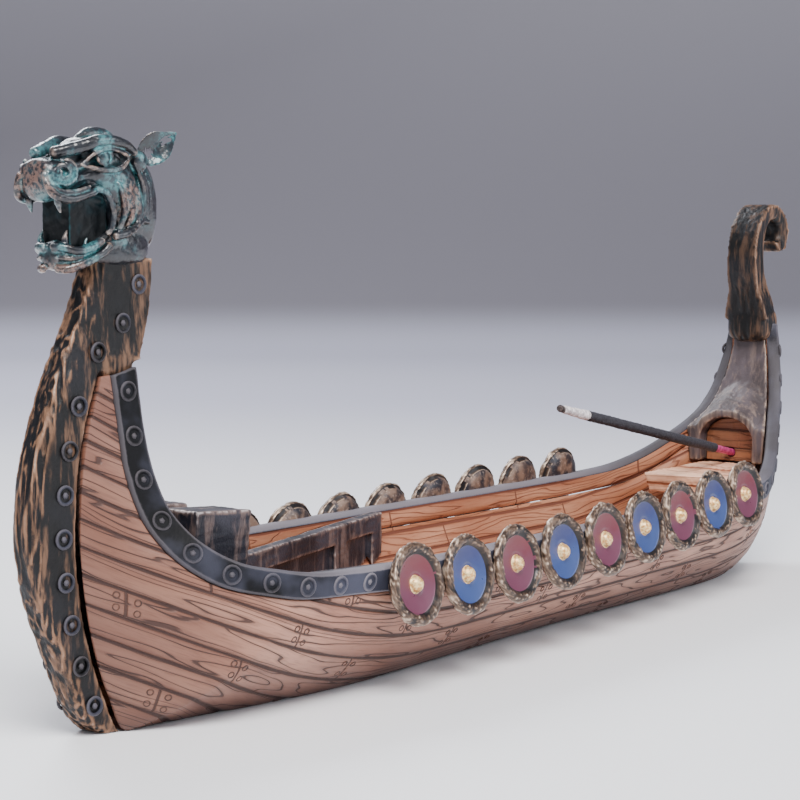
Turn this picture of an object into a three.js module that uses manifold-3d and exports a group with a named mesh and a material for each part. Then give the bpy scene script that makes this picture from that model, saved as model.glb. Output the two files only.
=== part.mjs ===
// Incense burner in the form of a dragon-headed longship, with one stick in its socket at the stern.
// Millimetres, +Z up. The bow points to -X, port is -Y. The origin is under the middle of the ship's
// overall box, on the surface it stands on.
import * as THREE from "three";
import { mergeVertices } from "three/addons/utils/BufferGeometryUtils.js";
import Module from "manifold-3d";

const wasm = await Module();
wasm.setup();

// ---- driving dimensions ----
const GAP = 0.3; // clearance that every piece keeps to its neighbour
const LENGTH = 264.8; // stem to scroll
const BEAM = 54.6; // over the gunwales amidships
const WALL = 2.6; // planking thickness
const BAND_WIDTH = 5.7; // iron gunwale band, measured down the side
const BAND_PROUD = 0.5; // the band stands this far out of the planking
const POST_HALF = 4.2; // half the width of the stem and stern post where the planks meet them
const STATIONS = 34; // stations along a plank strake
const STRAKE_STEPS = 5; // points up a station

const SHIELDS_PER_SIDE = 9;
const SHIELD_RADIUS = 7.75;
const SHIELD_PITCH = 16.5;
const SHIELD_FIRST_X = -63.3;
const SHIELD_FLARE = THREE.MathUtils.degToRad(9); // the top of a shield leans outboard
const SHIELD_BACK = 3; // how deep a shield's back reaches before the hull cuts it

const STICK_SLOPE = THREE.MathUtils.degToRad(11.7); // above the horizontal, rising towards the bow
const STICK_CORE_RADIUS = 0.9;
const STICK_COAT_RADIUS = 1.2;
const SOCKET_RADIUS = STICK_CORE_RADIUS + GAP;
const SOCKET_DEPTH = 8;
const SOCKET_MOUTH = new THREE.Vector3(110, 0, 28); // where the socket's axis leaves the niche board
const BARE_LENGTH = 9; // dyed bamboo that shows between the niche and the coating
const COAT_LENGTH = 61.5;
const ASH_LENGTH = 12;

const DECK_LEVEL = 0.86; // foredeck height, as a share of the way up the side
const NECK_TOP = 80; // where the neck ends under the head

// ---- hull lines: the foot of the planking, and the top edge of the gunwale, from bow to stern ----
const half = BEAM / 2;
const bow = -LENGTH / 2;
const stern = LENGTH / 2;
const FOOT = [
  [bow + 14.8, POST_HALF, 60.5],
  [bow + 11.2, POST_HALF, 50],
  [bow + 9.8, POST_HALF, 42],
  [bow + 9.3, POST_HALF, 33],
  [bow + 10.1, POST_HALF, 24],
  [bow + 12.1, POST_HALF, 15],
  [bow + 15.4, POST_HALF, 6.5],
  [bow + 19.4, POST_HALF, 0],
  [bow + 33, 6.2, 0],
  [bow + 50, 9.8, 0],
  [bow + 71, 12.2, 0],
  [bow + 98, 11.6, 0],
  [0, 10.2, 0],
  [34, 10, 0],
  [62, 10.4, 0],
  [stern - 48, 9.4, 0],
  [stern - 37.4, 7, 0],
  [stern - 30.4, POST_HALF + 0.4, 0],
  [stern - 23.9, POST_HALF, 5],
  [stern - 16.9, POST_HALF, 13],
  [stern - 11.9, POST_HALF, 23],
  [stern - 9.4, POST_HALF, 34],
  [stern - 9, POST_HALF, 44],
  [stern - 9.4, POST_HALF, 52],
];
const SHEER = [
  [bow + 22, 5, 62],
  [bow + 22.6, 5.6, 54],
  [bow + 23, 8, 44],
  [bow + 24.2, 11, 37.4],
  [bow + 26.6, 15.8, 32.4],
  [bow + 31.4, 20, 28.9],
  [bow + 38.4, 23, 27.1],
  [bow + 46.4, 25, 25.6],
  [bow + 57, 26.3, 25.1],
  [bow + 68, 26.9, 24.8],
  [bow + 82, half, 24.6],
  [bow + 104, half, 24.5],
  [0, half, 24.4],
  [30, half - 0.9, 24.4],
  [56, half - 2.1, 24.6],
  [stern - 57, half - 3.3, 24.9],
  [stern - 45, half - 5.5, 26],
  [stern - 35, half - 8.9, 29],
  [stern - 26.4, half - 12.7, 33.5],
  [stern - 20, half - 15.7, 38],
  [stern - 15.9, half - 17.5, 43],
  [stern - 13.4, half - 18.9, 49],
  [stern - 11.8, half - 20.2, 56],
  [stern - 11.6, half - 20.8, 60.5],
];
const LAST = FOOT.length - 1;
const curveOf = (points) =>
  new THREE.CatmullRomCurve3(points.map((p) => new THREE.Vector3(...p)), false, "centripetal");
const foot = curveOf(FOOT);
const sheer = curveOf(SHEER);

// ---- small tools ----

// A closed body through rings of the same even number of points. Each end is capped by the strips
// between the ring's first half and its second half, so a thin curved wall closes cleanly too.
function loft(rings) {
  const n = rings[0].length;
  const index = [];
  for (let r = 0; r + 1 < rings.length; r++)
    for (let i = 0; i < n; i++) {
      const a = r * n + i;
      const b = r * n + ((i + 1) % n);
      index.push(a, b, b + n, a, b + n, a + n);
    }
  const last = (rings.length - 1) * n;
  for (let i = 0; i + 1 < n / 2; i++) {
    const [a, b, c, d] = [i, i + 1, n - 2 - i, n - 1 - i];
    if (c !== b) {
      index.push(a, c, b, last + a, last + b, last + c);
      index.push(a, d, c, last + a, last + c, last + d);
    }
  }
  const geometry = new THREE.BufferGeometry();
  geometry.setAttribute(
    "position",
    new THREE.Float32BufferAttribute(rings.flat().flatMap((p) => [p.x, p.y, p.z]), 3),
  );
  geometry.setIndex(index);
  return geometry;
}

// A geometry as a solid: shared vertices merged, faces turned outwards.
function solid(geometry) {
  const bare = geometry.clone();
  bare.deleteAttribute("normal");
  bare.deleteAttribute("uv");
  const merged = mergeVertices(bare, 1e-4);
  const triVerts = new Uint32Array(merged.index.array);
  const vertProperties = merged.attributes.position.array;
  const made = (verts) => new wasm.Manifold(new wasm.Mesh({ numProp: 3, vertProperties, triVerts: verts }));
  const first = made(triVerts);
  if (first.volume() > 0) return first;
  return made(triVerts.map((v, i) => triVerts[i - (i % 3) + [0, 2, 1][i % 3]]));
}

function geometryOf(body) {
  const mesh = body.getMesh();
  const position = new Float32Array(mesh.numVert * 3);
  for (let i = 0; i < mesh.numVert; i++)
    position.set(mesh.vertProperties.subarray(i * mesh.numProp, i * mesh.numProp + 3), i * 3);
  const indexed = new THREE.BufferGeometry();
  indexed.setAttribute("position", new THREE.BufferAttribute(position, 3));
  indexed.setIndex(new THREE.BufferAttribute(mesh.triVerts, 1));
  const geometry = indexed.toNonIndexed();
  geometry.computeVertexNormals();
  return geometry;
}

const vec = (x, y, z) => new THREE.Vector3(x, y, z);
const mirrored = (rings) => rings.map((ring) => ring.map((p) => vec(p.x, -p.y, p.z)));
const SIDES = [
  ["port", -1],
  ["starboard", 1],
];
const onSide = (rings, side) => (side > 0 ? rings : mirrored(rings));

// ---- the hull's surface, starboard side ----

const BILGE = { along: 0.5, out: 0.86, up: 0.3 }; // the bilge's place between keel and sheer

// u runs 0..1 from bow to stern, v 0..1 from the foot to the sheer. A full bilge curve joins them.
function skinPoint(u, v) {
  const low = foot.getPoint(u);
  low.z = Math.max(low.z, 0); // the foot never dips below the ground
  const high = sheer.getPoint(u);
  const bilge = vec(
    THREE.MathUtils.lerp(low.x, high.x, BILGE.along),
    THREE.MathUtils.lerp(low.y, high.y, BILGE.out),
    THREE.MathUtils.lerp(low.z, high.z, BILGE.up),
  );
  return new THREE.QuadraticBezierCurve3(low, bilge, high).getPoint(v);
}

// The same point moved inboard by a depth, square to the surface.
function skin(u, v, depth) {
  const step = 1e-3;
  const [u0, u1] = [Math.max(0, u - step), Math.min(1, u + step)];
  const [v0, v1] = [Math.max(0, v - step), Math.min(1, v + step)];
  const along = skinPoint(u1, v).sub(skinPoint(u0, v));
  const up = skinPoint(u, v1).sub(skinPoint(u, v0));
  const out = up.cross(along).normalize();
  return skinPoint(u, v).addScaledVector(out, -depth);
}

// The v at which the side is this far below the sheer.
function vBelowSheer(u, distance) {
  const top = skinPoint(u, 1);
  let [low, high] = [0, 1];
  for (let i = 0; i < 30; i++) {
    const mid = (low + high) / 2;
    if (skinPoint(u, mid).distanceTo(top) > distance) low = mid;
    else high = mid;
  }
  return low;
}

const spread = (from, to, count) =>
  Array.from({ length: count }, (_, i) => THREE.MathUtils.lerp(from, to, i / (count - 1)));

// One wall of the hull between two levels, given as functions of u.
const strakeStations = spread(0, 1, STATIONS);
function strake(vFrom, vTo, proud, steps) {
  return strakeStations.map((u) => {
    const levels = spread(vFrom(u), vTo(u), steps);
    const outer = levels.map((v) => skin(u, v, -proud));
    const inner = levels.map((v) => skin(u, v, WALL));
    return [...outer, ...inner.reverse()];
  });
}

// The space between the two sides, from u0 to u1 and between two levels.
function interior(u0, u1, vLow, vHigh, count) {
  const rings = spread(u0, u1, count).map((u) => {
    const side = spread(vLow, vHigh, 4).map((v) => skin(u, v, WALL + GAP));
    const other = side.map((p) => vec(p.x, -p.y, p.z));
    return [...side, ...other.reverse()];
  });
  return loft(rings);
}

const at = (station) => station / LAST;

const planking = strake(
  () => 0,
  (u) => vBelowSheer(u, BAND_WIDTH + 2 * GAP),
  0,
  STRAKE_STEPS,
);
const band = strake(
  (u) => vBelowSheer(u, BAND_WIDTH),
  () => 1,
  BAND_PROUD,
  2,
);

// ---- keel plate and trough floor, between the feet of the planking ----
const keelPlate = loft(
  spread(at(7), at(17), 14).map((u) => {
    const low = skinPoint(u, 0);
    const inner = skin(u, 0, WALL);
    const side = [vec(low.x, low.y - 2 * GAP, 0), vec(inner.x, inner.y - 2 * GAP, inner.z)];
    return [...side, ...side.map((p) => vec(p.x, -p.y, p.z)).reverse()];
  }),
);
const FLOOR_LOW = 0.16;
const FLOOR_TOP = 0.36;
const troughFloor = interior(at(9.2), at(16.2), FLOOR_LOW, FLOOR_TOP, 12);

// ---- fore end: a deck with a V-shaped notch, and the panelled frames that line the notch ----
const NOTCH_TIP_X = -76; // forward end of the notch
const NOTCH_TIP_HALF = 7.4;
const NOTCH_END_X = -8.5;
const NOTCH_END_HALF = 24.3;
const FRAME_THICK = 2.8;
const FRAME_TOP = { port: 21.4, starboard: 23.8 }; // the port frame stands lower
const FRAME_FOOT = 9.5;
const POCKET_DEPTH = 1.2;

function prism(outline, z0, z1) {
  const shape = new THREE.Shape(outline.map(([x, y]) => new THREE.Vector2(x, y)));
  const geometry = new THREE.ExtrudeGeometry(shape, { depth: z1 - z0, bevelEnabled: false });
  return geometry.translate(0, 0, z0);
}

const notch = prism(
  [
    [NOTCH_TIP_X, -NOTCH_TIP_HALF],
    [NOTCH_END_X + 20, -NOTCH_END_HALF - 6],
    [NOTCH_END_X + 20, NOTCH_END_HALF + 6],
    [NOTCH_TIP_X, NOTCH_TIP_HALF],
  ],
  -10,
  60,
);
const DECK_UNDERSIDE = 0.42; // a share of the side's height
const foredeck = solid(interior(at(0.6), at(11.7), DECK_UNDERSIDE, DECK_LEVEL, 16)).subtract(solid(notch));

// Deck height at a place along the ship: both sides are level, so it depends on x alone.
function deckHeight(x) {
  let [low, high] = [at(2), at(11)];
  for (let i = 0; i < 30; i++) {
    const mid = (low + high) / 2;
    if (skin(mid, DECK_LEVEL, WALL).x < x) low = mid;
    else high = mid;
  }
  return skin(low, DECK_LEVEL, WALL).z;
}

// A frame runs along the notch's side. Its inboard face has a long and a short recessed panel.
const frameRun = Math.hypot(NOTCH_END_X - NOTCH_TIP_X, NOTCH_END_HALF - NOTCH_TIP_HALF);
const frameTurn = Math.atan2(NOTCH_END_HALF - NOTCH_TIP_HALF, NOTCH_END_X - NOTCH_TIP_X);
const POCKETS = [
  [14, 45.5],
  [51, 64.5],
];
const POCKET_RAIL = 3.9; // height of the rail over the panels
const POCKET_SILL = 2;
const ROOM_FLOOR = 0.14; // a share of the side's height
const room = solid(interior(at(8), at(14), ROOM_FLOOR, 1, 12));

function foreFrame(name, side) {
  const height = FRAME_TOP[name] - FRAME_FOOT;
  const board = new THREE.BoxGeometry(frameRun, FRAME_THICK, height);
  board.translate(frameRun / 2, -FRAME_THICK / 2 - GAP, FRAME_FOOT + height / 2);
  let body = solid(board);
  for (const [from, to] of POCKETS) {
    const opening = height - POCKET_RAIL - POCKET_SILL;
    const pocket = new THREE.BoxGeometry(to - from, 2 * POCKET_DEPTH, opening);
    const middle = FRAME_FOOT + POCKET_SILL + opening / 2;
    pocket.translate((from + to) / 2, -FRAME_THICK - GAP, middle);
    body = body.subtract(solid(pocket));
  }
  const place = new THREE.Matrix4()
    .makeTranslation(NOTCH_TIP_X, NOTCH_TIP_HALF, 0)
    .multiply(new THREE.Matrix4().makeRotationZ(frameTurn));
  const placed = solid(geometryOf(body).applyMatrix4(place)).intersect(room);
  return side > 0 ? geometryOf(placed) : geometryOf(placed.mirror([0, 1, 0]));
}

// ---- a pair of benches on the foredeck ----
const BENCH_FRONT_X = -103;
const BENCH_AFT_X = -89;
const BENCH_INNER = 3;
const BENCH_OUTER = 12;
const BENCH_TOP_FRONT = 37;
const BENCH_TOP_AFT = 35.9;
const BENCH_SLANT = 1.4; // the bench is this much narrower at its foot
function bench(side) {
  const rings = spread(BENCH_FRONT_X, BENCH_AFT_X, 6).map((x) => {
    const t = (x - BENCH_FRONT_X) / (BENCH_AFT_X - BENCH_FRONT_X);
    const top = THREE.MathUtils.lerp(BENCH_TOP_FRONT, BENCH_TOP_AFT, t);
    const bottom = deckHeight(x) + 2 * GAP;
    return [
      vec(x, BENCH_INNER, bottom),
      vec(x, BENCH_INNER, top),
      vec(x, BENCH_OUTER, top),
      vec(x, BENCH_OUTER - BENCH_SLANT, bottom),
    ];
  });
  return loft(onSide(rings, side));
}

// ---- stem and neck, and stern post with its scroll: sections along a spine ----

const LEAD_ROUNDING = 0.62; // the leading edge's flat, as a share of its half-width
// A section between a leading point and a trailing point in the centre plane, with its half-widths
// at both. The leading corners are chamfered.
function postSection([ax, az], [bx, bz], lead, trail) {
  const a = vec(ax, 0, az);
  const b = vec(bx, 0, bz);
  const inner = a.clone().lerp(b, 1 / 6);
  const side = [
    vec(a.x, lead * LEAD_ROUNDING, a.z),
    vec(inner.x, lead, inner.z),
    vec(b.x, trail, b.z),
  ];
  return [...side, ...side.map((p) => vec(p.x, -p.y, p.z)).reverse()];
}

const STEM_LEAD = 3.1;
const STEM_HALF = 3.9;
// Stem below the gunwales' fore ends: leading and trailing points, then the neck above them.
const STEM = [
  [bow + 15.4, 0, bow + 18.6, 0],
  [bow + 10.9, 3.9, bow + 16.4, 3.4],
  [bow + 6.1, 14, bow + 11.9, 14.4],
  [bow + 2.2, 23, bow + 9.7, 23.8],
  [bow + 0.3, 31.5, bow + 8.9, 33],
  [bow + 0.15, 38.5, bow + 9.3, 41.5],
  [bow + 1.7, 48, bow + 10.7, 50],
  [bow + 5.6, 58, bow + 14.2, 60],
  [bow + 7, 61.4, bow + 15.5, 61.5],
];
const NECK = [
  [bow + 8.6, 64.8, bow + 23.6, 62.9],
  [bow + 10.6, 68, bow + 24.6, 65.5],
  [bow + 12.3, 71.4, bow + 26, 69],
  [bow + 14, 75.6, bow + 27.2, 74.5],
  [bow + 15.4, NECK_TOP, bow + 27.8, NECK_TOP],
];
function postRings(rows, count, trailAt) {
  const lead = new THREE.SplineCurve(rows.map(([x, z]) => new THREE.Vector2(x, z)));
  const trail = new THREE.SplineCurve(rows.map(([, , x, z]) => new THREE.Vector2(x, z)));
  return spread(0, 1, count).map((t) => {
    const a = lead.getPoint(t);
    const b = trail.getPoint(t);
    return postSection([a.x, a.y], [b.x, b.y], STEM_LEAD, trailAt(t));
  });
}
const NECK_FOOT_HALF = 5; // the neck's trailing edge spreads to meet the gunwale bands
const bowStem = loft([
  ...postRings(STEM, 25, () => STEM_HALF),
  ...postRings(NECK, 9, (t) => THREE.MathUtils.lerp(NECK_FOOT_HALF, STEM_HALF, Math.sqrt(t))),
]);

// Centre line of the post above the gunwales and round the scroll: place, thickness, half-width.
const SCROLL = [
  [stern - 11.2, 64, 8.2, 4.6],
  [stern - 13.9, 70, 7.4, 4.3],
  [stern - 15.1, 77, 7, 4.1],
  [stern - 14, 83.3, 5.8, 4.1],
  [stern - 10.8, 87.2, 4.6, 4.1],
  [stern - 6.9, 88.3, 4, 4.1],
  [stern - 3.2, 86.6, 3.6, 4.1],
  [stern - 1.7, 83.1, 3.4, 4.1],
  [stern - 3, 80.2, 3.2, 4.1],
  [stern - 5.4, 79.6, 2.6, 4.1],
];
const scrollLine = new THREE.SplineCurve(SCROLL.map(([x, z]) => new THREE.Vector2(x, z)));
const SCROLL_INNER_SHARE = 0.85; // the scroll narrows towards its eye
function scrollSection(t) {
  const place = scrollLine.getPoint(t);
  const along = scrollLine.getTangent(t);
  const aft = new THREE.Vector2(along.y, -along.x);
  const share = t * (SCROLL.length - 1);
  const i = Math.min(SCROLL.length - 2, Math.floor(share));
  const thick = THREE.MathUtils.lerp(SCROLL[i][2], SCROLL[i + 1][2], share - i);
  const halfWidth = THREE.MathUtils.lerp(SCROLL[i][3], SCROLL[i + 1][3], share - i);
  const outer = place.clone().addScaledVector(aft, -thick / 2);
  const inner = place.clone().addScaledVector(aft, thick / 2);
  return postSection([inner.x, inner.y], [outer.x, outer.y], halfWidth * SCROLL_INNER_SHARE, halfWidth);
}
const STERN_FOOT_HALF = 6.2; // the post spreads to meet the gunwale bands
const STERN_LOWER = [
  [stern - 25.2, 0, stern - 29.4, 0, 2.6, STEM_HALF],
  [stern - 17.6, 8.4, stern - 22.4, 6.2, 2.8, STEM_HALF],
  [stern - 12.6, 14.6, stern - 16.2, 13.2, 2.9, STEM_HALF],
  [stern - 8, 22.6, stern - 11.3, 23, STEM_LEAD, STEM_HALF],
  [stern - 4.8, 33.4, stern - 8.9, 34, STEM_LEAD, STEM_HALF],
  [stern - 3.8, 44.4, stern - 8.5, 44, STEM_LEAD, STEM_HALF],
  [stern - 5, 52.6, stern - 8.8, 52, STEM_LEAD, STEM_HALF],
  [stern - 6.1, 58, stern - 9.6, 57.6, 3.4, STEM_HALF],
  [stern - 6.5, 61.2, stern - 10.4, 61.3, 4.4, STEM_HALF],
  [stern - 6.6, 62, stern - 15.8, 61.2, 4.6, STERN_FOOT_HALF],
  [stern - 7, 65, stern - 16.4, 64.4, 4.4, STERN_FOOT_HALF - 0.7],
];
const sternPost = loft([
  ...STERN_LOWER.map(([ax, az, bx, bz, lead, trail]) =>
    postSection([ax, az], [bx, bz], lead, trail),
  ),
  ...spread(0.1, 1, 26).map(scrollSection),
]);

// ---- stern: the breast between the gunwales, the niche board in it, and the seat for the stick ----
const NICHE_HALF = 7;
const NICHE_LOW = 25.7;
const NICHE_TOP = 36.7;
const NICHE_THICK = 2;
const SEAT_FRONT_X = 88;
const SEAT_FRONT_HALF = 12.6;
const SEAT_AFT_HALF = 7.4;
const SEAT_THICK = 4.6;
const SEAT_SLANT = 1.5; // the seat is this much narrower underneath
const SEAT_FRONT_TOP = 24;
const SEAT_AFT_TOP = 25.4;

const stickAxis = vec(-Math.cos(STICK_SLOPE), 0, Math.sin(STICK_SLOPE));

// A round bar along the stick's axis, from one distance out of the socket's mouth to another.
function bar(radii, from, to, sides) {
  const [r0, r1] = radii;
  const geometry = new THREE.CylinderGeometry(r1, r0, to - from, sides);
  const turn = new THREE.Quaternion().setFromUnitVectors(vec(0, 1, 0), stickAxis);
  geometry.applyQuaternion(turn);
  const middle = SOCKET_MOUTH.clone().addScaledVector(stickAxis, (from + to) / 2);
  return geometry.translate(middle.x, middle.y, middle.z);
}

const socket = solid(bar([SOCKET_RADIUS, SOCKET_RADIUS], -SOCKET_DEPTH, 6, 16));

// The breast fills the hull's aft end and swells over the gunwales as a hood. An arched recess in
// it holds the niche board. Under the seat's level it stands farther aft, behind the board.
const BREAST_FRONT_X = 106.6;
const HOOD = [
  [BREAST_FRONT_X, 9.6, 32.5, 38.6],
  [112.4, 8.2, 37.4, 42],
  [118, 4.8, 44.8, 46.8],
  [120.4, 3, 49.6, 50.6],
];
const HOOD_DEPTH = 4;
const HOOD_TUCK = 2.4; // the hood is this much narrower at its foot
const HAUNCH = { out: 0.72, up: 0.66 }; // the corner of the hood's round back
const CROWN_FLAT = 0.3; // the hood's flat top, as a share of its half-width
const hood = loft(
  HOOD.map(([x, halfWidth, shoulder, crown]) => {
    const side = [
      vec(x, halfWidth - HOOD_TUCK, shoulder - HOOD_DEPTH),
      vec(x, halfWidth, shoulder),
      vec(x, halfWidth * HAUNCH.out, THREE.MathUtils.lerp(shoulder, crown, HAUNCH.up)),
      vec(x, halfWidth * CROWN_FLAT, crown),
    ];
    return [...side, ...side.map((p) => vec(p.x, -p.y, p.z)).reverse()];
  }),
);
const CUT_HALF = 40;
function block(x0, x1, z0, z1) {
  const near = [
    [x0, -CUT_HALF],
    [x1, -CUT_HALF],
  ];
  return solid(prism([...near, ...near.map(([x]) => [x, CUT_HALF]).reverse()], z0, z1));
}

const ARCH_RISE = 0.75; // the arch's rise over its half-width
function archShape(grow) {
  const spring = NICHE_TOP - NICHE_HALF * ARCH_RISE;
  const reach = NICHE_HALF + grow;
  const shape = new THREE.Shape();
  shape.moveTo(-reach, NICHE_LOW - grow);
  shape.lineTo(reach, NICHE_LOW - grow);
  shape.lineTo(reach, spring);
  shape.absellipse(0, spring, reach, NICHE_TOP + grow - spring, 0, Math.PI, false, 0);
  return shape;
}
function archBody(grow, from, to) {
  const geometry = new THREE.ExtrudeGeometry(archShape(grow), {
    depth: to - from,
    bevelEnabled: false,
    curveSegments: 12,
  });
  return geometry.rotateX(Math.PI / 2).rotateZ(Math.PI / 2).translate(from, 0, 0);
}
const NICHE_BACK_X = SOCKET_MOUTH.x + NICHE_THICK;
const nicheBoard = () => archBody(0, SOCKET_MOUTH.x, NICHE_BACK_X);
const BREAST_LEVELS = [0.4, 0.99]; // foot and top, as shares of the side's height
const sternBreast = solid(interior(at(17), at(22.9), ...BREAST_LEVELS, 14))
  .add(solid(hood))
  .intersect(block(BREAST_FRONT_X, stern, 0, 80))
  .subtract(solid(archBody(GAP, BREAST_FRONT_X - 1, NICHE_BACK_X + GAP)))
  .subtract(block(0, NICHE_BACK_X + GAP, 0, NICHE_LOW))
  .subtract(socket);

function sternSeat() {
  const section = (x, halfWidth, top) => {
    const side = [vec(x, halfWidth - SEAT_SLANT, top - SEAT_THICK), vec(x, halfWidth, top)];
    return [...side, ...side.map((p) => vec(p.x, -p.y, p.z)).reverse()];
  };
  return loft([
    section(SEAT_FRONT_X, SEAT_FRONT_HALF, SEAT_FRONT_TOP),
    section(SOCKET_MOUTH.x - GAP, SEAT_AFT_HALF, SEAT_AFT_TOP),
  ]);
}

// ---- dragon's head, on the neck ----

// A body along x: each row gives x, the middle height, half the height and half the width.
const OVAL_POINTS = 12;
function ovalBody(rows, grow = 0) {
  return loft(
    rows.map(([x, z, high, wide], row) => {
      const end = row === 0 ? -grow : row === rows.length - 1 ? grow : 0;
      return Array.from({ length: OVAL_POINTS }, (_, i) => {
        const turn = ((i + 0.5) / OVAL_POINTS) * 2 * Math.PI;
        return vec(x + end, (wide + grow) * Math.sin(turn), z - (high + grow) * Math.cos(turn));
      });
    }),
  );
}
const HEAD_ROWS = [
  [bow + 3.6, 93.4, 2.4, 3],
  [bow + 4.4, 93.2, 3.4, 4.4],
  [bow + 7, 93, 3.8, 5.2],
  [bow + 10, 94, 3.4, 4.6],
  [bow + 12.6, 95.6, 4.4, 5.2],
  [bow + 16, 95, 5.4, 5.8],
  [bow + 20, 92, 8, 5.8],
  [bow + 24, 90, 9.4, 5.2],
  [bow + 27.2, 88.8, 8.8, 4.9],
  [bow + 28.8, 88.2, 7.8, 4.1],
];
const JAW_ROWS = [
  [bow + 7.2, 80.8, 1.6, 2.4],
  [bow + 8.2, 80.6, 2.6, 3.6],
  [bow + 11, 80.4, 2.6, 4.2],
  [bow + 14.4, 81.4, 2.4, 4.6],
  [bow + 17.2, 83, 2.2, 4.9],
];
const TONGUE_ROWS = [
  [bow + 9.4, 85.4, 0.5, 0.9],
  [bow + 11, 85.2, 0.7, 1.8],
  [bow + 14, 86, 0.8, 2.2],
  [bow + 16.6, 87.2, 0.8, 2.2],
];
const headGrown = solid(ovalBody(HEAD_ROWS, GAP));
const neckTop = solid(
  new THREE.BoxGeometry(60, 30, 30).translate(bow + 30, 0, NECK_TOP + GAP - 15),
);
const head = solid(ovalBody(HEAD_ROWS)).subtract(neckTop);
const jawSeat = solid(
  new THREE.BoxGeometry(30, 30, 30).translate(bow + 14 - 2 * GAP + 15, 0, NECK_TOP + GAP - 15),
);
const lowerJaw = solid(ovalBody(JAW_ROWS)).subtract(headGrown).subtract(jawSeat);
const tongue = solid(ovalBody(TONGUE_ROWS)).subtract(headGrown);

// An ear is a leaf that stands out of the skull, pointing up, aft and outboard.
const EAR_ROWS = [
  [vec(bow + 23.2, 4.4, 96.2), 2.2, 1.6],
  [vec(bow + 24.4, 5.8, 98), 2.6, 1.5],
  [vec(bow + 26, 7.2, 99.8), 2.2, 1.1],
  [vec(bow + 27.6, 8.3, 101.5), 0.8, 0.5],
];
function ear(side) {
  const rings = EAR_ROWS.map(([centre, long, short]) =>
    Array.from({ length: 8 }, (_, i) => {
      const turn = ((i + 0.5) / 8) * 2 * Math.PI;
      const across = vec(0.76, -0.1, -0.64).multiplyScalar(long * Math.cos(turn));
      const through = vec(0.3, 0.86, -0.42).multiplyScalar(short * Math.sin(turn));
      return centre.clone().add(across).add(through);
    }),
  );
  return solid(loft(onSide(rings, side))).subtract(headGrown);
}

// ---- round shields along both gunwales ----

// Profile from the middle of the back, over the rim, to the boss: distance from the axis, height.
const SHIELD_PROFILE = [
  [0, -SHIELD_BACK],
  [SHIELD_RADIUS - 1.7, -SHIELD_BACK + 0.3],
  [SHIELD_RADIUS - 0.5, -SHIELD_BACK + 1.5],
  [SHIELD_RADIUS, 0],
  [SHIELD_RADIUS - 0.6, 1.1],
  [SHIELD_RADIUS - 2, 0.9],
  [SHIELD_RADIUS - 2.6, 0.2],
  [1.7, 0],
  [1.3, 0.9],
  [0, 1.1],
];
const SHIELD_SIDES = 16;
// Half-breadth of the shield row's middle plane along the ship, and its height.
const shieldBreadth = (x) => 28.9 - 0.012 * (x - SHIELD_FIRST_X) - 0.00012 * (x - SHIELD_FIRST_X) ** 2;
function shieldHeight(x) {
  const t = (x + 15) / 100;
  return 20.6 + 1.81 * t + 4.05 * t * t - 2.49 * t ** 3;
}

// What the backs of the shields are cut to: the gunwale band with its clearance, and all below it.
const hullBand = solid(
  loft(
    strakeStations
      .filter((u) => u > at(8) && u < at(18.5))
      .map((u) => {
        const levels = spread(0, 1, 5);
        const wall = (depth) => levels.map((v) => skin(u, v, depth).add(vec(0, 0, v * 2 * GAP)));
        return [...wall(-BAND_PROUD - 1.5 * GAP), ...wall(WALL + SHIELD_BACK).reverse()];
      }),
  ),
);

function shield(index, side) {
  const x = SHIELD_FIRST_X + index * SHIELD_PITCH;
  const turnIn = Math.atan(2 * 0.00012 * (x - SHIELD_FIRST_X) + 0.012);
  const profile = SHIELD_PROFILE.map(([r, h]) => new THREE.Vector2(r, h));
  const disc = new THREE.LatheGeometry(profile, SHIELD_SIDES);
  disc.rotateX(-SHIELD_FLARE).rotateZ(-turnIn);
  disc.translate(x, shieldBreadth(x), shieldHeight(x));
  let body = solid(disc).subtract(hullBand);
  const parts = body.decompose().sort((p, q) => q.volume() - p.volume());
  body = side > 0 ? parts[0] : parts[0].mirror([0, 1, 0]);
  return geometryOf(body);
}

// ---- assembly ----
const finish = (color, roughness, metalness = 0) =>
  new THREE.MeshStandardMaterial({ color, roughness, metalness });
const PLANKS = finish(0xb89478, 0.65);
const TROUGH = finish(0xa86a42, 0.6);
const TIMBER = finish(0x34333a, 0.55, 0.2);
const IRON = finish(0x4a4e5c, 0.5, 0.3);
const PATINA = finish(0x2f4a50, 0.45, 0.3);
const RED = finish(0xa05560, 0.5);
const BLUE = finish(0x4a63a8, 0.5);
const DYED = finish(0xb03a6c, 0.7);
const PASTE = finish(0x26242a, 0.85);
const ASH = finish(0xc8c4be, 0.95);

const ship = new THREE.Group();
const stick = new THREE.Group();

function add(group, name, shape, material) {
  const geometry = shape.isBufferGeometry ? geometryOf(solid(shape)) : geometryOf(shape);
  const mesh = new THREE.Mesh(geometry, material);
  mesh.name = name;
  group.add(mesh);
}

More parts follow.
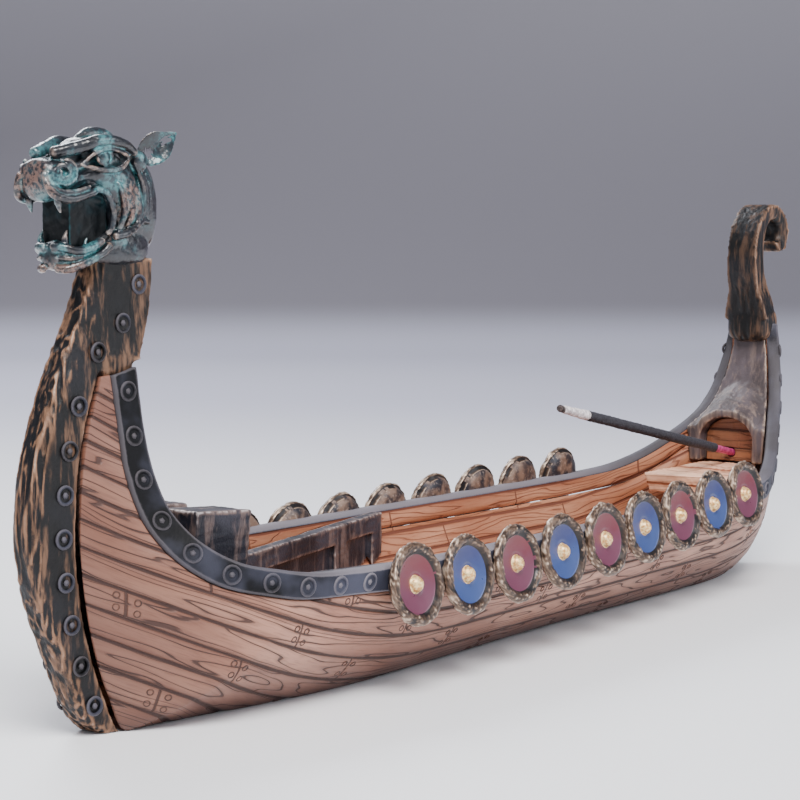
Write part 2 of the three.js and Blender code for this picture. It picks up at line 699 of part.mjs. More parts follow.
add(ship, "keel_plate", keelPlate, PLANKS);
add(ship, "trough_floor", troughFloor, TROUGH);
add(ship, "foredeck", foredeck, TIMBER);
add(ship, "bow_stem", bowStem, TIMBER);
add(ship, "stern_post", sternPost, TIMBER);
add(ship, "stern_breast", sternBreast, TIMBER);
add(ship, "stern_niche", solid(nicheBoard()).subtract(socket), TROUGH);
add(ship, "stern_seat", sternSeat(), TROUGH);
add(ship, "dragon_head", head, PATINA);
add(ship, "dragon_lower_jaw", lowerJaw, PATINA);
add(ship, "dragon_tongue", tongue, PATINA);
for (const [name, side] of SIDES) {
  add(ship, name + "_planking", loft(onSide(planking, side)), PLANKS);
  add(ship, name + "_gunwale_band", loft(onSide(band, side)), IRON);
  add(ship, name + "_fore_frame", foreFrame(name, side), TIMBER);
  add(ship, name + "_bench", bench(side), TIMBER);
  add(ship, name + "_ear", ear(side), PATINA);
  for (let i = 0; i < SHIELDS_PER_SIDE; i++)
    add(ship, `${name}_shield_${i + 1}`, shield(i, side), i % 2 ? BLUE : RED);
}

const coatFrom = BARE_LENGTH;
const ashFrom = coatFrom + COAT_LENGTH;
const core = bar([STICK_CORE_RADIUS, STICK_CORE_RADIUS], -SOCKET_DEPTH + GAP, coatFrom - GAP, 12);
const coat = bar([STICK_COAT_RADIUS, STICK_COAT_RADIUS], coatFrom, ashFrom - GAP, 12);
const ash = bar([STICK_COAT_RADIUS, STICK_COAT_RADIUS * 0.7], ashFrom, ashFrom + ASH_LENGTH, 12);
add(stick, "stick_core", core, DYED);
add(stick, "stick_coating", coat, PASTE);
add(stick, "stick_ash", ash, ASH);

const burner = new THREE.Group();
burner.add(ship, stick);
export default burner;
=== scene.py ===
# %% [markdown]
# # A longship incense burner
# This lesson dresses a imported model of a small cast-resin ship. The model gives the sizes and the joint
# of the incense stick, and everything here gives it its looks: planks with engraved grain, iron bands
# with ring rivets, weathered black timber, a verdigris dragon's head and painted shields.
# Lengths in the helpers are millimetres, because that is how a maker would measure such a piece, and
# each mesh is scaled to metres once, when it is finished.

# %% Load the frame
import math

import bmesh
import bpy
import numpy as np
from mathutils import Matrix, Vector, noise


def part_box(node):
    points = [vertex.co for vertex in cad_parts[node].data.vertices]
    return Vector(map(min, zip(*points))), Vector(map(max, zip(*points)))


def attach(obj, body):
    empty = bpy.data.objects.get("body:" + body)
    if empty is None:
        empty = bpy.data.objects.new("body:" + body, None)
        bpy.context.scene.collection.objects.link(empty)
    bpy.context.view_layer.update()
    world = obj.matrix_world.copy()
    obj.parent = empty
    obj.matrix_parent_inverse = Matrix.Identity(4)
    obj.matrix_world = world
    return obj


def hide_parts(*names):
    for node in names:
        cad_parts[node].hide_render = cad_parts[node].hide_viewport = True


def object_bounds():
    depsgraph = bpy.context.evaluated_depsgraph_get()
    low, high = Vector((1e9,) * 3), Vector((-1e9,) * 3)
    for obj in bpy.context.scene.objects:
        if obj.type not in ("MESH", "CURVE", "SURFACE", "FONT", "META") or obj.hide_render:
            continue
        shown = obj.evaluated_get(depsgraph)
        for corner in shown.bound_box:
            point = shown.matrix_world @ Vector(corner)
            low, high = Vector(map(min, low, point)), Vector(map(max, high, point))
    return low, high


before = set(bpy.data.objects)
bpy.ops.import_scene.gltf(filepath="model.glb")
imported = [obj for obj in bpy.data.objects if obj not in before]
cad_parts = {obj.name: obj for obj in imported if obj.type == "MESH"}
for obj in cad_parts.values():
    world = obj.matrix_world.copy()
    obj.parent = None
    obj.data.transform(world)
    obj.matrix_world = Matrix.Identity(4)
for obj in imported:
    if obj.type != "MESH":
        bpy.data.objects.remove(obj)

CAD_BOX = [[float(c) for c in corner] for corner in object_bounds()]
TO_METRES = Matrix.Scale(0.001, 4)
BOW = 1000 * CAD_BOX[0][0]
STERN = -BOW
SIDES = {"port": -1, "starboard": 1}
SAME_POINT = 0.002  # vertices closer than this are one

# %% [markdown]
# ## Meshes
# Two ways of making a piece come up again and again. The hull's skin is a smooth surface between two
# curves, so it is a grid bent onto that surface. Everything carved, such as the stem, the deck and the
# head, starts from closed shapes that are fused by a voxel remesh into one even skin, which then takes
# chisel marks as small moves along its normals.

# %% Turning a bmesh into a piece
def finish_piece(bm, name, materials, body="ship", stands_for=()):
    """Scales the bmesh to metres and makes it a smooth piece that rides one body."""
    bmesh.ops.transform(bm, matrix=TO_METRES, verts=bm.verts)
    mesh = bpy.data.meshes.new(name)
    bm.to_mesh(mesh)
    bm.free()
    piece = bpy.data.objects.new(name, mesh)
    bpy.context.scene.collection.objects.link(piece)
    for material in materials:
        mesh.materials.append(material)
    mesh.polygons.foreach_set("use_smooth", [True] * len(mesh.polygons))
    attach(piece, body)
    if stands_for:
        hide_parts(*stands_for)
    return piece


def cad_copy(*nodes):
    """A bmesh in millimetres with the merged solids of these nodes."""
    bm = bmesh.new()
    for node in nodes:
        bm.from_mesh(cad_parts[node].data)
    bmesh.ops.transform(bm, matrix=Matrix.Scale(1000, 4), verts=bm.verts)
    bmesh.ops.remove_doubles(bm, verts=bm.verts, dist=SAME_POINT)
    return bm


def remeshed(bm, voxel):
    """The bmesh's closed shapes fused into one skin of even small faces, still in millimetres."""
    raw = bpy.data.meshes.new("raw")
    bm.to_mesh(raw)
    bm.free()
    holder = bpy.data.objects.new("raw", raw)
    bpy.context.scene.collection.objects.link(holder)
    modifier = holder.modifiers.new("fuse", "REMESH")
    modifier.mode = "VOXEL"
    modifier.voxel_size = voxel
    evaluated = holder.evaluated_get(bpy.context.evaluated_depsgraph_get())
    made = bmesh.new()
    made.from_mesh(evaluated.data)
    bpy.data.objects.remove(holder)
    bpy.data.meshes.remove(raw)
    return made


def smoothed(bm, rounds):
    for _ in range(rounds):
        bmesh.ops.smooth_vert(
            bm, verts=bm.verts, factor=0.5, use_axis_x=True, use_axis_y=True, use_axis_z=True
        )
    return bm


def carve(bm, depth_at):
    """Moves each vertex along its normal by depth_at(point, normal) millimetres."""
    bm.normal_update()
    moves = [(v, v.normal * depth_at(v.co, v.normal)) for v in bm.verts]
    for vertex, move in moves:
        vertex.co += move
    bm.normal_update()
    return bm


print("mesh helpers ready")

# %% [markdown]
# Dry brushing is how such castings get their age: a nearly dry brush of bronze or silver is dragged
# over black paint and only touches what stands proud. So each carved piece stores how far each point
# stands above its smoothed self, and the paint reads that as an attribute.

# %% The relief attribute
def store_relief(mesh, rounds):
    """Each point's height in millimetres over the same surface after some rounds of smoothing."""
    count = len(mesh.vertices)
    points = np.empty(count * 3)
    mesh.vertices.foreach_get("co", points)
    points = points.reshape(-1, 3)
    normals = np.empty(count * 3)
    mesh.vertices.foreach_get("normal", normals)
    normals = normals.reshape(-1, 3)
    edges = np.empty(len(mesh.edges) * 2, dtype=np.int64)
    mesh.edges.foreach_get("vertices", edges)
    first, second = edges.reshape(-1, 2).T
    degree = np.bincount(first, minlength=count) + np.bincount(second, minlength=count)
    soft = points.copy()
    for _ in range(rounds):
        total = np.zeros_like(soft)
        for axis in range(3):
            total[:, axis] = np.bincount(first, soft[second, axis], count)
            total[:, axis] += np.bincount(second, soft[first, axis], count)
        soft = 0.5 * soft + 0.5 * total / degree[:, None]
    store_value(mesh, "relief", 1000 * np.einsum("ij,ij->i", points - soft, normals))


def store_value(mesh, name, values):
    attribute = mesh.attributes.new(name, "FLOAT", "POINT")
    attribute.data.foreach_set("value", np.asarray(values, dtype=np.float32))


print("relief attribute ready")

# %% [markdown]
# ## Paint
# Shader sums read best as plain arithmetic. `Value` wraps one socket and turns `+`, `*` and the rest
# into Math nodes, and `Finish` holds one material's tree with a single method for any other node.

# %% Shader arithmetic
class Value:
    """One socket, as a number in Python arithmetic."""

    def __init__(self, finish, socket):
        self.finish = finish
        self.socket = socket

    def math(self, operation, *others):
        return self.finish.node("ShaderNodeMath", {"operation": operation}, self, *others)

    def __add__(self, other):
        return self.math("ADD", other)

    __radd__ = __add__

    def __sub__(self, other):
        return self.math("SUBTRACT", other)

    def __rsub__(self, other):
        return self.finish.node("ShaderNodeMath", {"operation": "SUBTRACT"}, other, self)

    def __mul__(self, other):
        return self.math("MULTIPLY", other)

    __rmul__ = __mul__

    def __truediv__(self, other):
        return self.math("DIVIDE", other)

    def __rtruediv__(self, other):
        return self.finish.node("ShaderNodeMath", {"operation": "DIVIDE"}, other, self)

    def fraction(self):
        return self.math("FRACT")

    def whole(self):
        return self.math("FLOOR")

    def size(self):
        return self.math("ABSOLUTE")

    def least(self, other):
        return self.math("MINIMUM", other)

    def most(self, other):
        return self.math("MAXIMUM", other)

    def ramp(self, low, high):
        """0 below low, 1 above high, smooth between."""
        settings = {"interpolation_type": "SMOOTHSTEP"}
        return self.finish.node("ShaderNodeMapRange", settings, self, low, high, 0.0, 1.0)


class Finish:
    """One material, its node tree and its main shader."""

    def __init__(self, name):
        self.material = bpy.data.materials.new(name)
        self.material.use_nodes = True
        self.tree = self.material.node_tree
        self.shader = self.tree.nodes["Principled BSDF"]

    def node(self, kind, settings, *inputs, out=0, **named):
        made = self.tree.nodes.new(kind)
        for key, value in settings.items():
            setattr(made, key, value)
        for key, value in list(enumerate(inputs)) + list(named.items()):
            if value is not None:
                self.feed(made.inputs[key], value)
        return Value(self, made.outputs[out])

    def feed(self, socket, value):
        if isinstance(value, Value):
            self.tree.links.new(value.socket, socket)
        else:
            socket.default_value = value

    def place(self, scale=1000.0):
        """Object coordinates in millimetres, split into x, y and z."""
        where = self.node("ShaderNodeTexCoord", {}, out="Object")
        where = self.node("ShaderNodeVectorMath", {"operation": "SCALE"}, where, Scale=scale)
        split = self.node("ShaderNodeSeparateXYZ", {}, where).socket.node
        return where, [Value(self, output) for output in split.outputs]

    def joined(self, x, y, z):
        return self.node("ShaderNodeCombineXYZ", {}, x, y, z)

    def noise(self, where, scale, detail=3.0, roughness=0.5):
        return self.node(
            "ShaderNodeTexNoise", {}, Vector=where, Scale=scale, Detail=detail, Roughness=roughness
        )

    def attribute(self, name):
        return self.node("ShaderNodeAttribute", {"attribute_name": name}, out="Fac")

    def mix(self, amount, first, second):
        """Mixes two colours. A Mix node's colour sockets come after five for numbers and vectors."""
        skipped = [None] * 5
        return self.node("ShaderNodeMix", {"data_type": "RGBA"}, amount, *skipped, first, second, out=2)

    def bump(self, height, strength, distance):
        return self.node(
            "ShaderNodeBump", {}, Height=height, Strength=strength, Distance=distance / 1000
        )

    def set(self, **sockets):
        for name, value in sockets.items():
            self.feed(self.shader.inputs[name.replace("_", " ")], value)
        return self.material


def colour(red, green, blue):
    """A colour as it looks on screen, 0 to 255, as the linear numbers that a shader takes."""
    linear = []
    for part in (red, green, blue):
        share = part / 255
        linear.append(share / 12.92 if share <= 0.04045 else ((share + 0.055) / 1.055) ** 2.4)
    return (*linear, 1.0)


print("shader arithmetic ready")


# %% [markdown]
# ## The planks' layout
# The strakes run level amidships and sweep up towards both ends. One height-like number, `lay`, follows
# that sweep, so a seam is simply a level line of it. Each strake is butted at staggered places, with
# two nails on either side of the joint.

# %% Strake layout, shared by the mesh and the paint
STRAKE = 4.6
JOINT_SPACING = 47.0
JOINT_STAGGER = 0.38  # each strake starts this share of a spacing after the one below
SWEEP_BOW_FROM = -42.0
SWEEP_STERN_FROM = 62.0
SWEEP_BOW = 0.0036
SWEEP_STERN = 0.0046


def strake_lay(x, z):
    bow = np.minimum(x - SWEEP_BOW_FROM, 0) ** 2 * SWEEP_BOW
    stern = np.maximum(x - SWEEP_STERN_FROM, 0) ** 2 * SWEEP_STERN
    return z - bow - stern


def joint_shift(row):
    return (row * JOINT_STAGGER) % 1.0 * JOINT_SPACING


print("strakes", STRAKE, "mm wide, butted every", JOINT_SPACING, "mm")


# %% [markdown]
# The planks are tan paint over engraved lines: a wide seam between strakes, a thin butt joint, and grain
# that runs level and swirls into knots. A dark wash was wiped off, so it stays in the lines. The paint is
# also darker low down and towards both ends.

# %% Finish: tan planks with engraved grain
def plank_finish(name, light, middle, line_colour, stain, grain_depth=0.85, low_and_end_darkening=1.0):
    f = Finish(name)
    where, (x, y, z) = f.place()
    bow = (x - SWEEP_BOW_FROM).least(0.0)
    stern = (x - SWEEP_STERN_FROM).most(0.0)
    lay = z - bow * bow * SWEEP_BOW - stern * stern * SWEEP_STERN
    row = (lay / STRAKE).whole()
    # Seams between strakes, and the butt joints along each.
    within = (lay / STRAKE).fraction()
    to_seam = ((within - 0.5).size() - 0.5).size() * STRAKE
    along = (x / JOINT_SPACING + (row * JOINT_STAGGER).fraction()).fraction()
    to_joint = (along - 0.5).size() * JOINT_SPACING
    wander = f.noise(f.joined(x * 0.09, y * 0.09, lay * 0.3), 1.0, 2.0)
    seam = 1.0 - (to_seam + (wander - 0.5) * 0.5).ramp(0.14, 0.42)
    joint = 1.0 - to_joint.ramp(0.1, 0.3)
    # Grain: level lines of a long stretched noise, different on each strake, that swirl into knots.
    flow = f.noise(f.joined(x * 0.03, row * 7.3 + y * 0.02, lay * 0.24), 1.0, 1.6, 0.5)
    lines = (flow * 9.0 + lay * 0.58).fraction()
    to_line = (lines - 0.5).size()
    hatch = f.noise(f.joined(x * 0.1, row * 3.1, lay * 1.1), 1.0, 2.0)
    line_width = hatch * 0.11
    grain = 1.0 - ((to_line - line_width) / 0.06).ramp(-0.6, 0.6)
    fine = f.noise(f.joined(x * 0.3, y * 0.3, lay * 3.2), 1.0, 3.0)
    cloud = f.noise(f.joined(x * 0.03, row * 1.7, lay * 0.12), 1.0, 2.0)
    dark = (seam * 0.95).most(joint * 0.85).most(grain * grain_depth)
    wood = f.mix(cloud.ramp(0.35, 0.68), middle, light)
    wood = f.mix(fine.ramp(0.45, 0.75) * 0.35, wood, stain)
    # A dark wash gathers by the lines, and the paint is darker towards the keel, the stem and the stern.
    near = (1.0 - to_line.ramp(0.06, 0.3)) * 0.3
    wood = f.mix(near.most((1.0 - to_seam.ramp(0.2, 1.3)) * 0.4), wood, stain)
    low = (1.0 - (z + (cloud - 0.5) * 6.0).ramp(-1.0, 17.0)) * 0.95
    fore = (1.0 - (x - BOW).ramp(10.0, 56.0)) * 0.75
    aft = x.ramp(66.0, 118.0) * 0.6
    paint = f.mix(low.most(fore).most(aft) * low_and_end_darkening, wood, stain)
    paint = f.mix(dark, paint, line_colour)
    height = (1.0 - dark) + fine * 0.12
    return f.set(
        Base_Color=paint,
        Roughness=0.42 + dark * 0.3 + fine * 0.12,
        Normal=f.bump(height, 0.8, 0.4),
        Coat_Weight=0.12,
        Coat_Roughness=0.35,
    )


PLANKS = plank_finish(
    "planks", colour(200, 148, 124), colour(164, 111, 89), colour(50, 26, 20), colour(80, 42, 29)
)
LINING = plank_finish(
    "lining", colour(192, 136, 104), colour(158, 102, 72), colour(96, 44, 22), colour(136, 66, 34),
    0.5, 0.3,
)
SEAT_WOOD = plank_finish(
    "seat_wood", colour(252, 208, 178), colour(238, 184, 150), colour(150, 84, 52), colour(182, 112, 76),
    0.4, 0.0,
)
NICHE_WOOD = plank_finish(
    "niche_wood", colour(160, 106, 72), colour(128, 80, 54), colour(66, 36, 24), colour(90, 52, 34),
    0.4, 0.0,
)
print("plank finishes made")

# %% [markdown]
# The carved timber is black, hazed with grey, and its edges are dry-brushed with bronze and a little
# silver. The relief attribute says where the brush touched, and `brushed` how hard it was pressed.

# %% Finish: black timber, dry-brushed bronze and silver
def timber_finish(name, deep, haze, bronze, silver, low, high, haze_share=0.4):
    f = Finish(name)
    where, (x, y, z) = f.place()
    relief = f.attribute("relief")
    brushed = f.attribute("brushed")
    patch = f.noise(where, 0.11, 3.0)
    streak = f.noise(f.joined(x * 0.9, y * 0.9, z * 0.12), 1.0, 3.0, 0.6)
    speck = f.noise(where, 1.6, 3.0, 0.6)
    rise = relief + (speck - 0.5) * 0.07
    proud = rise.ramp(low, high) * streak.ramp(0.3, 0.56)
    glint = rise.ramp(high * 0.9, high * 2.2) * streak.ramp(0.42, 0.62)
    base = f.mix(patch.ramp(0.4, 0.66) * haze_share, deep, haze)
    # Bronze wiped along the grain where the hand passed.
    wiped = f.noise(f.joined(x * 0.45, y * 0.45, z * 0.07), 1.0, 4.0, 0.65)
    base = f.mix(wiped.ramp(0.5, 0.66) * brushed * 0.6, base, bronze)
    paint = f.mix(proud * brushed * patch.ramp(0.25, 0.55), base, bronze)
    paint = f.mix(glint * brushed, paint, silver)
    return f.set(
        Base_Color=paint,
        Roughness=0.34 + speck * 0.25,
        Metallic=proud * 0.25,
        Normal=f.bump(speck + streak * 0.8, 0.5, 0.2),
        Specular_IOR_Level=0.3,
    )


TIMBER = timber_finish(
    "black_timber", colour(6, 5, 6), colour(26, 27, 34), colour(140, 104, 80), colour(186, 160, 142),
    0.03, 0.13,
)
DECK_TIMBER = timber_finish(
    "deck_timber", colour(26, 27, 36), colour(68, 66, 76), colour(122, 102, 96), colour(188, 176, 174),
    0.02, 0.1, 0.6,
)
BREAST_TIMBER = timber_finish(
    "breast_timber", colour(66, 57, 58), colour(96, 87, 92), colour(138, 118, 108),
    colour(190, 170, 152), 0.02, 0.1, 0.8,
)
print("timber finishes made")

# %% [markdown]
# The bands are slate-dark iron, rubbed pale on the rings. The head is bronze gone green: teal lies in the
# hollows, bare metal shows on the cheek, chin and muzzle, and the ridges are nearly white.

# %% Finish: slate iron bands, verdigris bronze
def iron_finish():
    f = Finish("iron_band")
    where, (x, y, z) = f.place()
    relief = f.attribute("relief")
    patch = f.noise(where, 0.1, 3.0)
    speck = f.noise(where, 1.9, 4.0, 0.6)
    # Level amidships the band catches the sky and looks paler than where it climbs to the neck.
    level = (x - BOW).ramp(36.0, 64.0) * (1.0 - x.ramp(62.0, 100.0)) * 0.5
    base = f.mix((patch.ramp(0.4, 0.62) * 0.4 + level).least(1.0), colour(5, 5, 8), colour(76, 78, 94))
    worn = (relief + (speck - 0.5) * 0.1).ramp(0.03, 0.16)
    paint = f.mix(worn * (0.28 + level), base, colour(134, 128, 134))
    # Painted shade: the band's hollows are darkened nearly to black.
    hollow = 1.0 - relief.ramp(-0.12, -0.02)
    paint = f.mix(hollow * 0.8, paint, colour(10, 12, 16))
    return f.set(
        Base_Color=paint,
        Roughness=0.48 + speck * 0.22,
        Metallic=0.1,
        Normal=f.bump(speck, 0.4, 0.14),
        Specular_IOR_Level=0.2,
    )


CHEEK = (21.0, 89.5)  # the cheek's middle, aft of the bow and above the floor


def patina_finish():
    f = Finish("verdigris")
    where, (x, y, z) = f.place()
    relief = f.attribute("relief")
    patch = f.noise(where, 0.22, 3.0)
    speck = f.noise(where, 1.5, 4.0, 0.6)
    rise = relief + (speck - 0.5) * 0.1
    # Bare bronze where fingers and brushes reach: the cheek, the chin and the muzzle's front.
    aft, above = x - (BOW + CHEEK[0]), z - CHEEK[1]
    cheek = 1.0 - (aft * aft * 0.1 + above * above * 0.05).ramp(0.2, 1.0)
    chin = (1.0 - z.ramp(78.2, 80.6)) * (1.0 - (x - BOW).ramp(14.0, 19.0))
    muzzle = 1.0 - (x - BOW).ramp(3.2, 5.0)
    bare = cheek.most(chin).most(muzzle) * speck.ramp(0.42, 0.58)
    nape = (x - BOW).ramp(21.5, 25.5) * (1.0 - z.ramp(92.0, 96.0))
    base = f.mix(patch.ramp(0.4, 0.62), colour(12, 15, 22), colour(34, 41, 50))
    teal = f.mix(speck.ramp(0.36, 0.6), colour(4, 66, 74), colour(88, 164, 168))
    deep = 1.0 - rise.ramp(-0.2, 0.02)
    paint = f.mix((deep * 0.85 + patch.ramp(0.5, 0.62) * 0.4).least(1.0), base, teal)
    paint = f.mix(bare * 0.6, paint, colour(140, 108, 96))
    paint = f.mix(nape * 0.85, paint, colour(40, 38, 44))
    proud = rise.ramp(0.08, 0.3) * 0.85
    pale = f.mix(patch.ramp(0.4, 0.6), colour(226, 192, 172), colour(206, 216, 216))
    paint = f.mix(proud * (1.0 - nape * 0.6), paint, pale)
    # Painted shade: the deepest hollows of the head go nearly black, below the teal patina.
    black = 1.0 - rise.ramp(-0.5, -0.24)
    paint = f.mix(black * 0.9, paint, colour(4, 16, 20))
    return f.set(
        Base_Color=paint,
        Roughness=0.22 + speck * 0.22,
        Metallic=0.15,
        Normal=f.bump(speck, 0.4, 0.12),
        Coat_Weight=0.55,
        Coat_Roughness=0.14,
    )


def mouth_finish():
    f = Finish("mouth_teal")
    where, (x, y, z) = f.place()
    relief = f.attribute("relief")
    patch = f.noise(where, 0.35, 3.0)
    shade = (patch - 0.5) * 0.8 + (z - 81.0) * 0.05
    paint = f.mix(shade.ramp(0.25, 0.8), colour(1, 5, 8), colour(3, 44, 52))
    paint = f.mix(relief.ramp(0.08, 0.26) * 0.7, paint, colour(44, 104, 112))
    return f.set(
        Base_Color=paint,
        Roughness=0.35 + patch * 0.15,
        Normal=f.bump(patch, 0.4, 0.3),
        Specular_IOR_Level=0.25,
    )


IRON = iron_finish()
VERDIGRIS = patina_finish()
MOUTH = mouth_finish()
print("iron and bronze finishes made")

# %% [markdown]
# A shield has four finishes: beaten bronze on the rim, glossy red or blue with painted shade at the top of
# its dish and a painted reflection of the bright floor that pales it towards its foot, a gold boss, and
# mottled dark metal behind.

# %% Finish: shield rims, fields and bosses
def rim_finish():
    f = Finish("shield_rim")
    where, _ = f.place()
    relief = f.attribute("relief")
    speck = f.noise(where, 1.3, 4.0, 0.6)
    patch = f.noise(where, 0.22, 2.0)
    base = f.mix(patch.ramp(0.4, 0.6), colour(26, 22, 23), colour(60, 45, 36))
    rise = relief + (speck - 0.5) * 0.12
    paint = f.mix(rise.ramp(0.0, 0.1), base, colour(110, 87, 71))
    paint = f.mix(rise.ramp(0.08, 0.2), paint, colour(196, 174, 154))
    # Painted shade: the hollows between the pebbles are darkened.
    hollow = 1.0 - relief.ramp(-0.12, -0.02)
    paint = f.mix(hollow * 0.85, paint, colour(24, 20, 22))
    return f.set(
        Base_Color=paint,
        Roughness=0.28 + speck * 0.2,
        Metallic=0.4,
        Normal=f.bump(speck, 0.4, 0.12),
        Coat_Weight=0.2,
        Coat_Roughness=0.25,
    )


def dome_finish():
    f = Finish("shield_back")
    where, (x, y, z) = f.place()
    patch = f.noise(where, 0.35, 3.0)
    speck = f.noise(where, 1.4, 3.0)
    paint = f.mix(patch.ramp(0.36, 0.64), colour(40, 38, 46), colour(134, 108, 92))
    paint = f.mix(speck.ramp(0.55, 0.75) * 0.5, paint, colour(176, 160, 150))
    return f.set(
        Base_Color=paint,
        Roughness=0.3 + speck * 0.2,
        Metallic=0.3,
        Normal=f.bump(speck, 0.3, 0.12),
        Coat_Weight=0.3,
        Coat_Roughness=0.22,
    )


def field_finish(name, top, foot_with_reflection):
    f = Finish(name)
    where, _ = f.place()
    height = f.attribute("dish_height")
    patch = f.noise(where, 0.5, 3.0)
    # Painted shade and reflection: the field is darker at the top of its dish and paler towards its foot,
    # where it reflects the bright floor.
    paint = f.mix((height + (patch - 0.5) * 0.5).ramp(-0.35, 0.85), foot_with_reflection, top)
    return f.set(
        Base_Color=paint,
        Roughness=0.22 + patch * 0.2,
        Normal=f.bump(patch, 0.25, 0.1),
        Coat_Weight=0.4,
        Coat_Roughness=0.2,
    )


def boss_finish():
    f = Finish("boss_gold")
    where, _ = f.place()
    speck = f.noise(where, 1.8, 3.0)
    paint = f.mix(speck.ramp(0.4, 0.62), colour(206, 148, 84), colour(250, 218, 158))
    return f.set(
        Base_Color=paint,
        Roughness=0.28 + speck * 0.2,
        Metallic=0.35,
        Normal=f.bump(speck, 0.35, 0.1),
        Coat_Weight=0.3,
        Coat_Roughness=0.2,
    )


RIM = rim_finish()
DOME = dome_finish()
# Each field's second colour is its paler foot, a painted reflection of the bright floor.
RED = field_finish("field_red", colour(98, 4, 24), colour(98, 46, 68))
BLUE = field_finish("field_blue", colour(8, 24, 92), colour(50, 70, 124))
GOLD = boss_finish()
print("shield finishes made")

# %% [markdown]
# The stick needs four plain, grainy finishes: dyed bamboo, charcoal paste, ash and a spent tip. The
# nails in the planks share the recipe.

# %% Finish: the incense stick
def stick_finish(name, dark, light, scale, rough):
    f = Finish(name)
    where, _ = f.place()
    grain = f.noise(where, scale, 4.0, 0.65)
    paint = f.mix(grain.ramp(0.35, 0.66), dark, light)
    return f.set(Base_Color=paint, Roughness=rough + grain * 0.1, Normal=f.bump(grain, 0.5, 0.12))


DYED = stick_finish("dyed_bamboo", colour(158, 28, 92), colour(206, 84, 138), 1.1, 0.5)
PASTE = stick_finish("incense_paste", colour(28, 26, 32), colour(54, 52, 60), 2.6, 0.75)
ASH = stick_finish("ash", colour(176, 168, 170), colour(240, 232, 232), 1.6, 0.85)
EMBER = stick_finish("spent_tip", colour(34, 28, 28), colour(96, 84, 82), 2.0, 0.85)
NAIL = stick_finish("nail_brown", colour(50, 28, 22), colour(88, 54, 40), 1.2, 0.5)
print("stick finishes made")

# %% [markdown]
# ## The hull's lines
# Two curves make the hull: the foot, where the planking meets the keel and the posts, and the sheer,
# the top of the gunwale. A full bilge curve joins them at every station. The same lines shape the solid
# model, and they are measured here from the bow and the stern.

# %% Hull lines
POST_HALF = 4.2
HALF_BEAM = 27.3
FOOT = [
    (BOW + 14.8, POST_HALF, 60.5),
    (BOW + 11.2, POST_HALF, 50),
    (BOW + 9.8, POST_HALF, 42),
    (BOW + 9.3, POST_HALF, 33),
    (BOW + 10.1, POST_HALF, 24),
    (BOW + 12.1, POST_HALF, 15),
    (BOW + 15.4, POST_HALF, 6.5),
    (BOW + 19.4, POST_HALF, 0),
    (BOW + 33, 6.2, 0),
    (BOW + 50, 9.8, 0),
    (BOW + 71, 12.2, 0),
    (BOW + 98, 11.6, 0),
    (0, 10.2, 0),
    (34, 10, 0),
    (62, 10.4, 0),
    (STERN - 48, 9.4, 0),
    (STERN - 37.4, 7, 0),
    (STERN - 30.4, POST_HALF + 0.4, 0),
    (STERN - 23.9, POST_HALF, 5),
    (STERN - 16.9, POST_HALF, 13),
    (STERN - 11.9, POST_HALF, 23),
    (STERN - 9.4, POST_HALF, 34),
    (STERN - 9, POST_HALF, 44),
    (STERN - 9.4, POST_HALF, 52),
]
SHEER = [
    (BOW + 22, 5, 62),
    (BOW + 22.6, 5.6, 54),
    (BOW + 23, 8, 44),
    (BOW + 24.2, 11, 37.4),
    (BOW + 26.6, 15.8, 32.4),
    (BOW + 31.4, 20, 28.9),
    (BOW + 38.4, 23, 27.1),
    (BOW + 46.4, 25, 25.6),
    (BOW + 57, 26.3, 25.1),
    (BOW + 68, 26.9, 24.8),
    (BOW + 82, HALF_BEAM, 24.6),
    (BOW + 104, HALF_BEAM, 24.5),
    (0, HALF_BEAM, 24.4),
    (30, HALF_BEAM - 0.9, 24.4),
    (56, HALF_BEAM - 2.1, 24.6),
    (STERN - 57, HALF_BEAM - 3.3, 24.9),
    (STERN - 45, HALF_BEAM - 5.5, 26),
    (STERN - 35, HALF_BEAM - 8.9, 29),
    (STERN - 26.4, HALF_BEAM - 12.7, 33.5),
    (STERN - 20, HALF_BEAM - 15.7, 38),
    (STERN - 15.9, HALF_BEAM - 17.5, 43),
    (STERN - 13.4, HALF_BEAM - 18.9, 49),
    (STERN - 11.8, HALF_BEAM - 20.2, 56),
    (STERN - 11.6, HALF_BEAM - 20.8, 60.5),
]


print(len(FOOT), "stations from bow to stern")

# %% [markdown]
# A curve through the stations is eased by how far apart they are, so it never loops. The skin between
# the two curves is a simple bent strip: `u` runs from bow to stern and `v` from foot to sheer.

# %% The skin between the lines
def through(points):
    """A centripetal curve through the points, as a function of shares 0..1 with equal shares a span."""
    p = np.array(points, dtype=float)
    p = np.vstack([2 * p[0] - p[1], p, 2 * p[-1] - p[-2]])

    def curve(share):
        share = np.clip(np.asarray(share, dtype=float), 0, 1) * (len(points) - 1)
        span = np.minimum(share.astype(int), len(points) - 2)
        t = (share - span)[..., None]
        a, b, c, d = (p[span + k] for k in range(4))
        gap = [np.linalg.norm(q - r, axis=-1, keepdims=True) ** 0.5 for q, r in ((b, a), (c, b), (d, c))]
        out = (b - a) / gap[0] - (c - a) / (gap[0] + gap[1]) + (c - b) / gap[1]
        into = (c - b) / gap[1] - (d - b) / (gap[1] + gap[2]) + (d - c) / gap[2]
        out, into = out * gap[1], into * gap[1]
        return b + out * t + (3 * (c - b) - 2 * out - into) * t**2 + (2 * (b - c) + out + into) * t**3

    return curve


BILGE = np.array([0.5, 0.86, 0.3])  # where the bilge lies from foot to sheer: along, out and up
foot_curve = through(FOOT)
sheer_curve = through(SHEER)


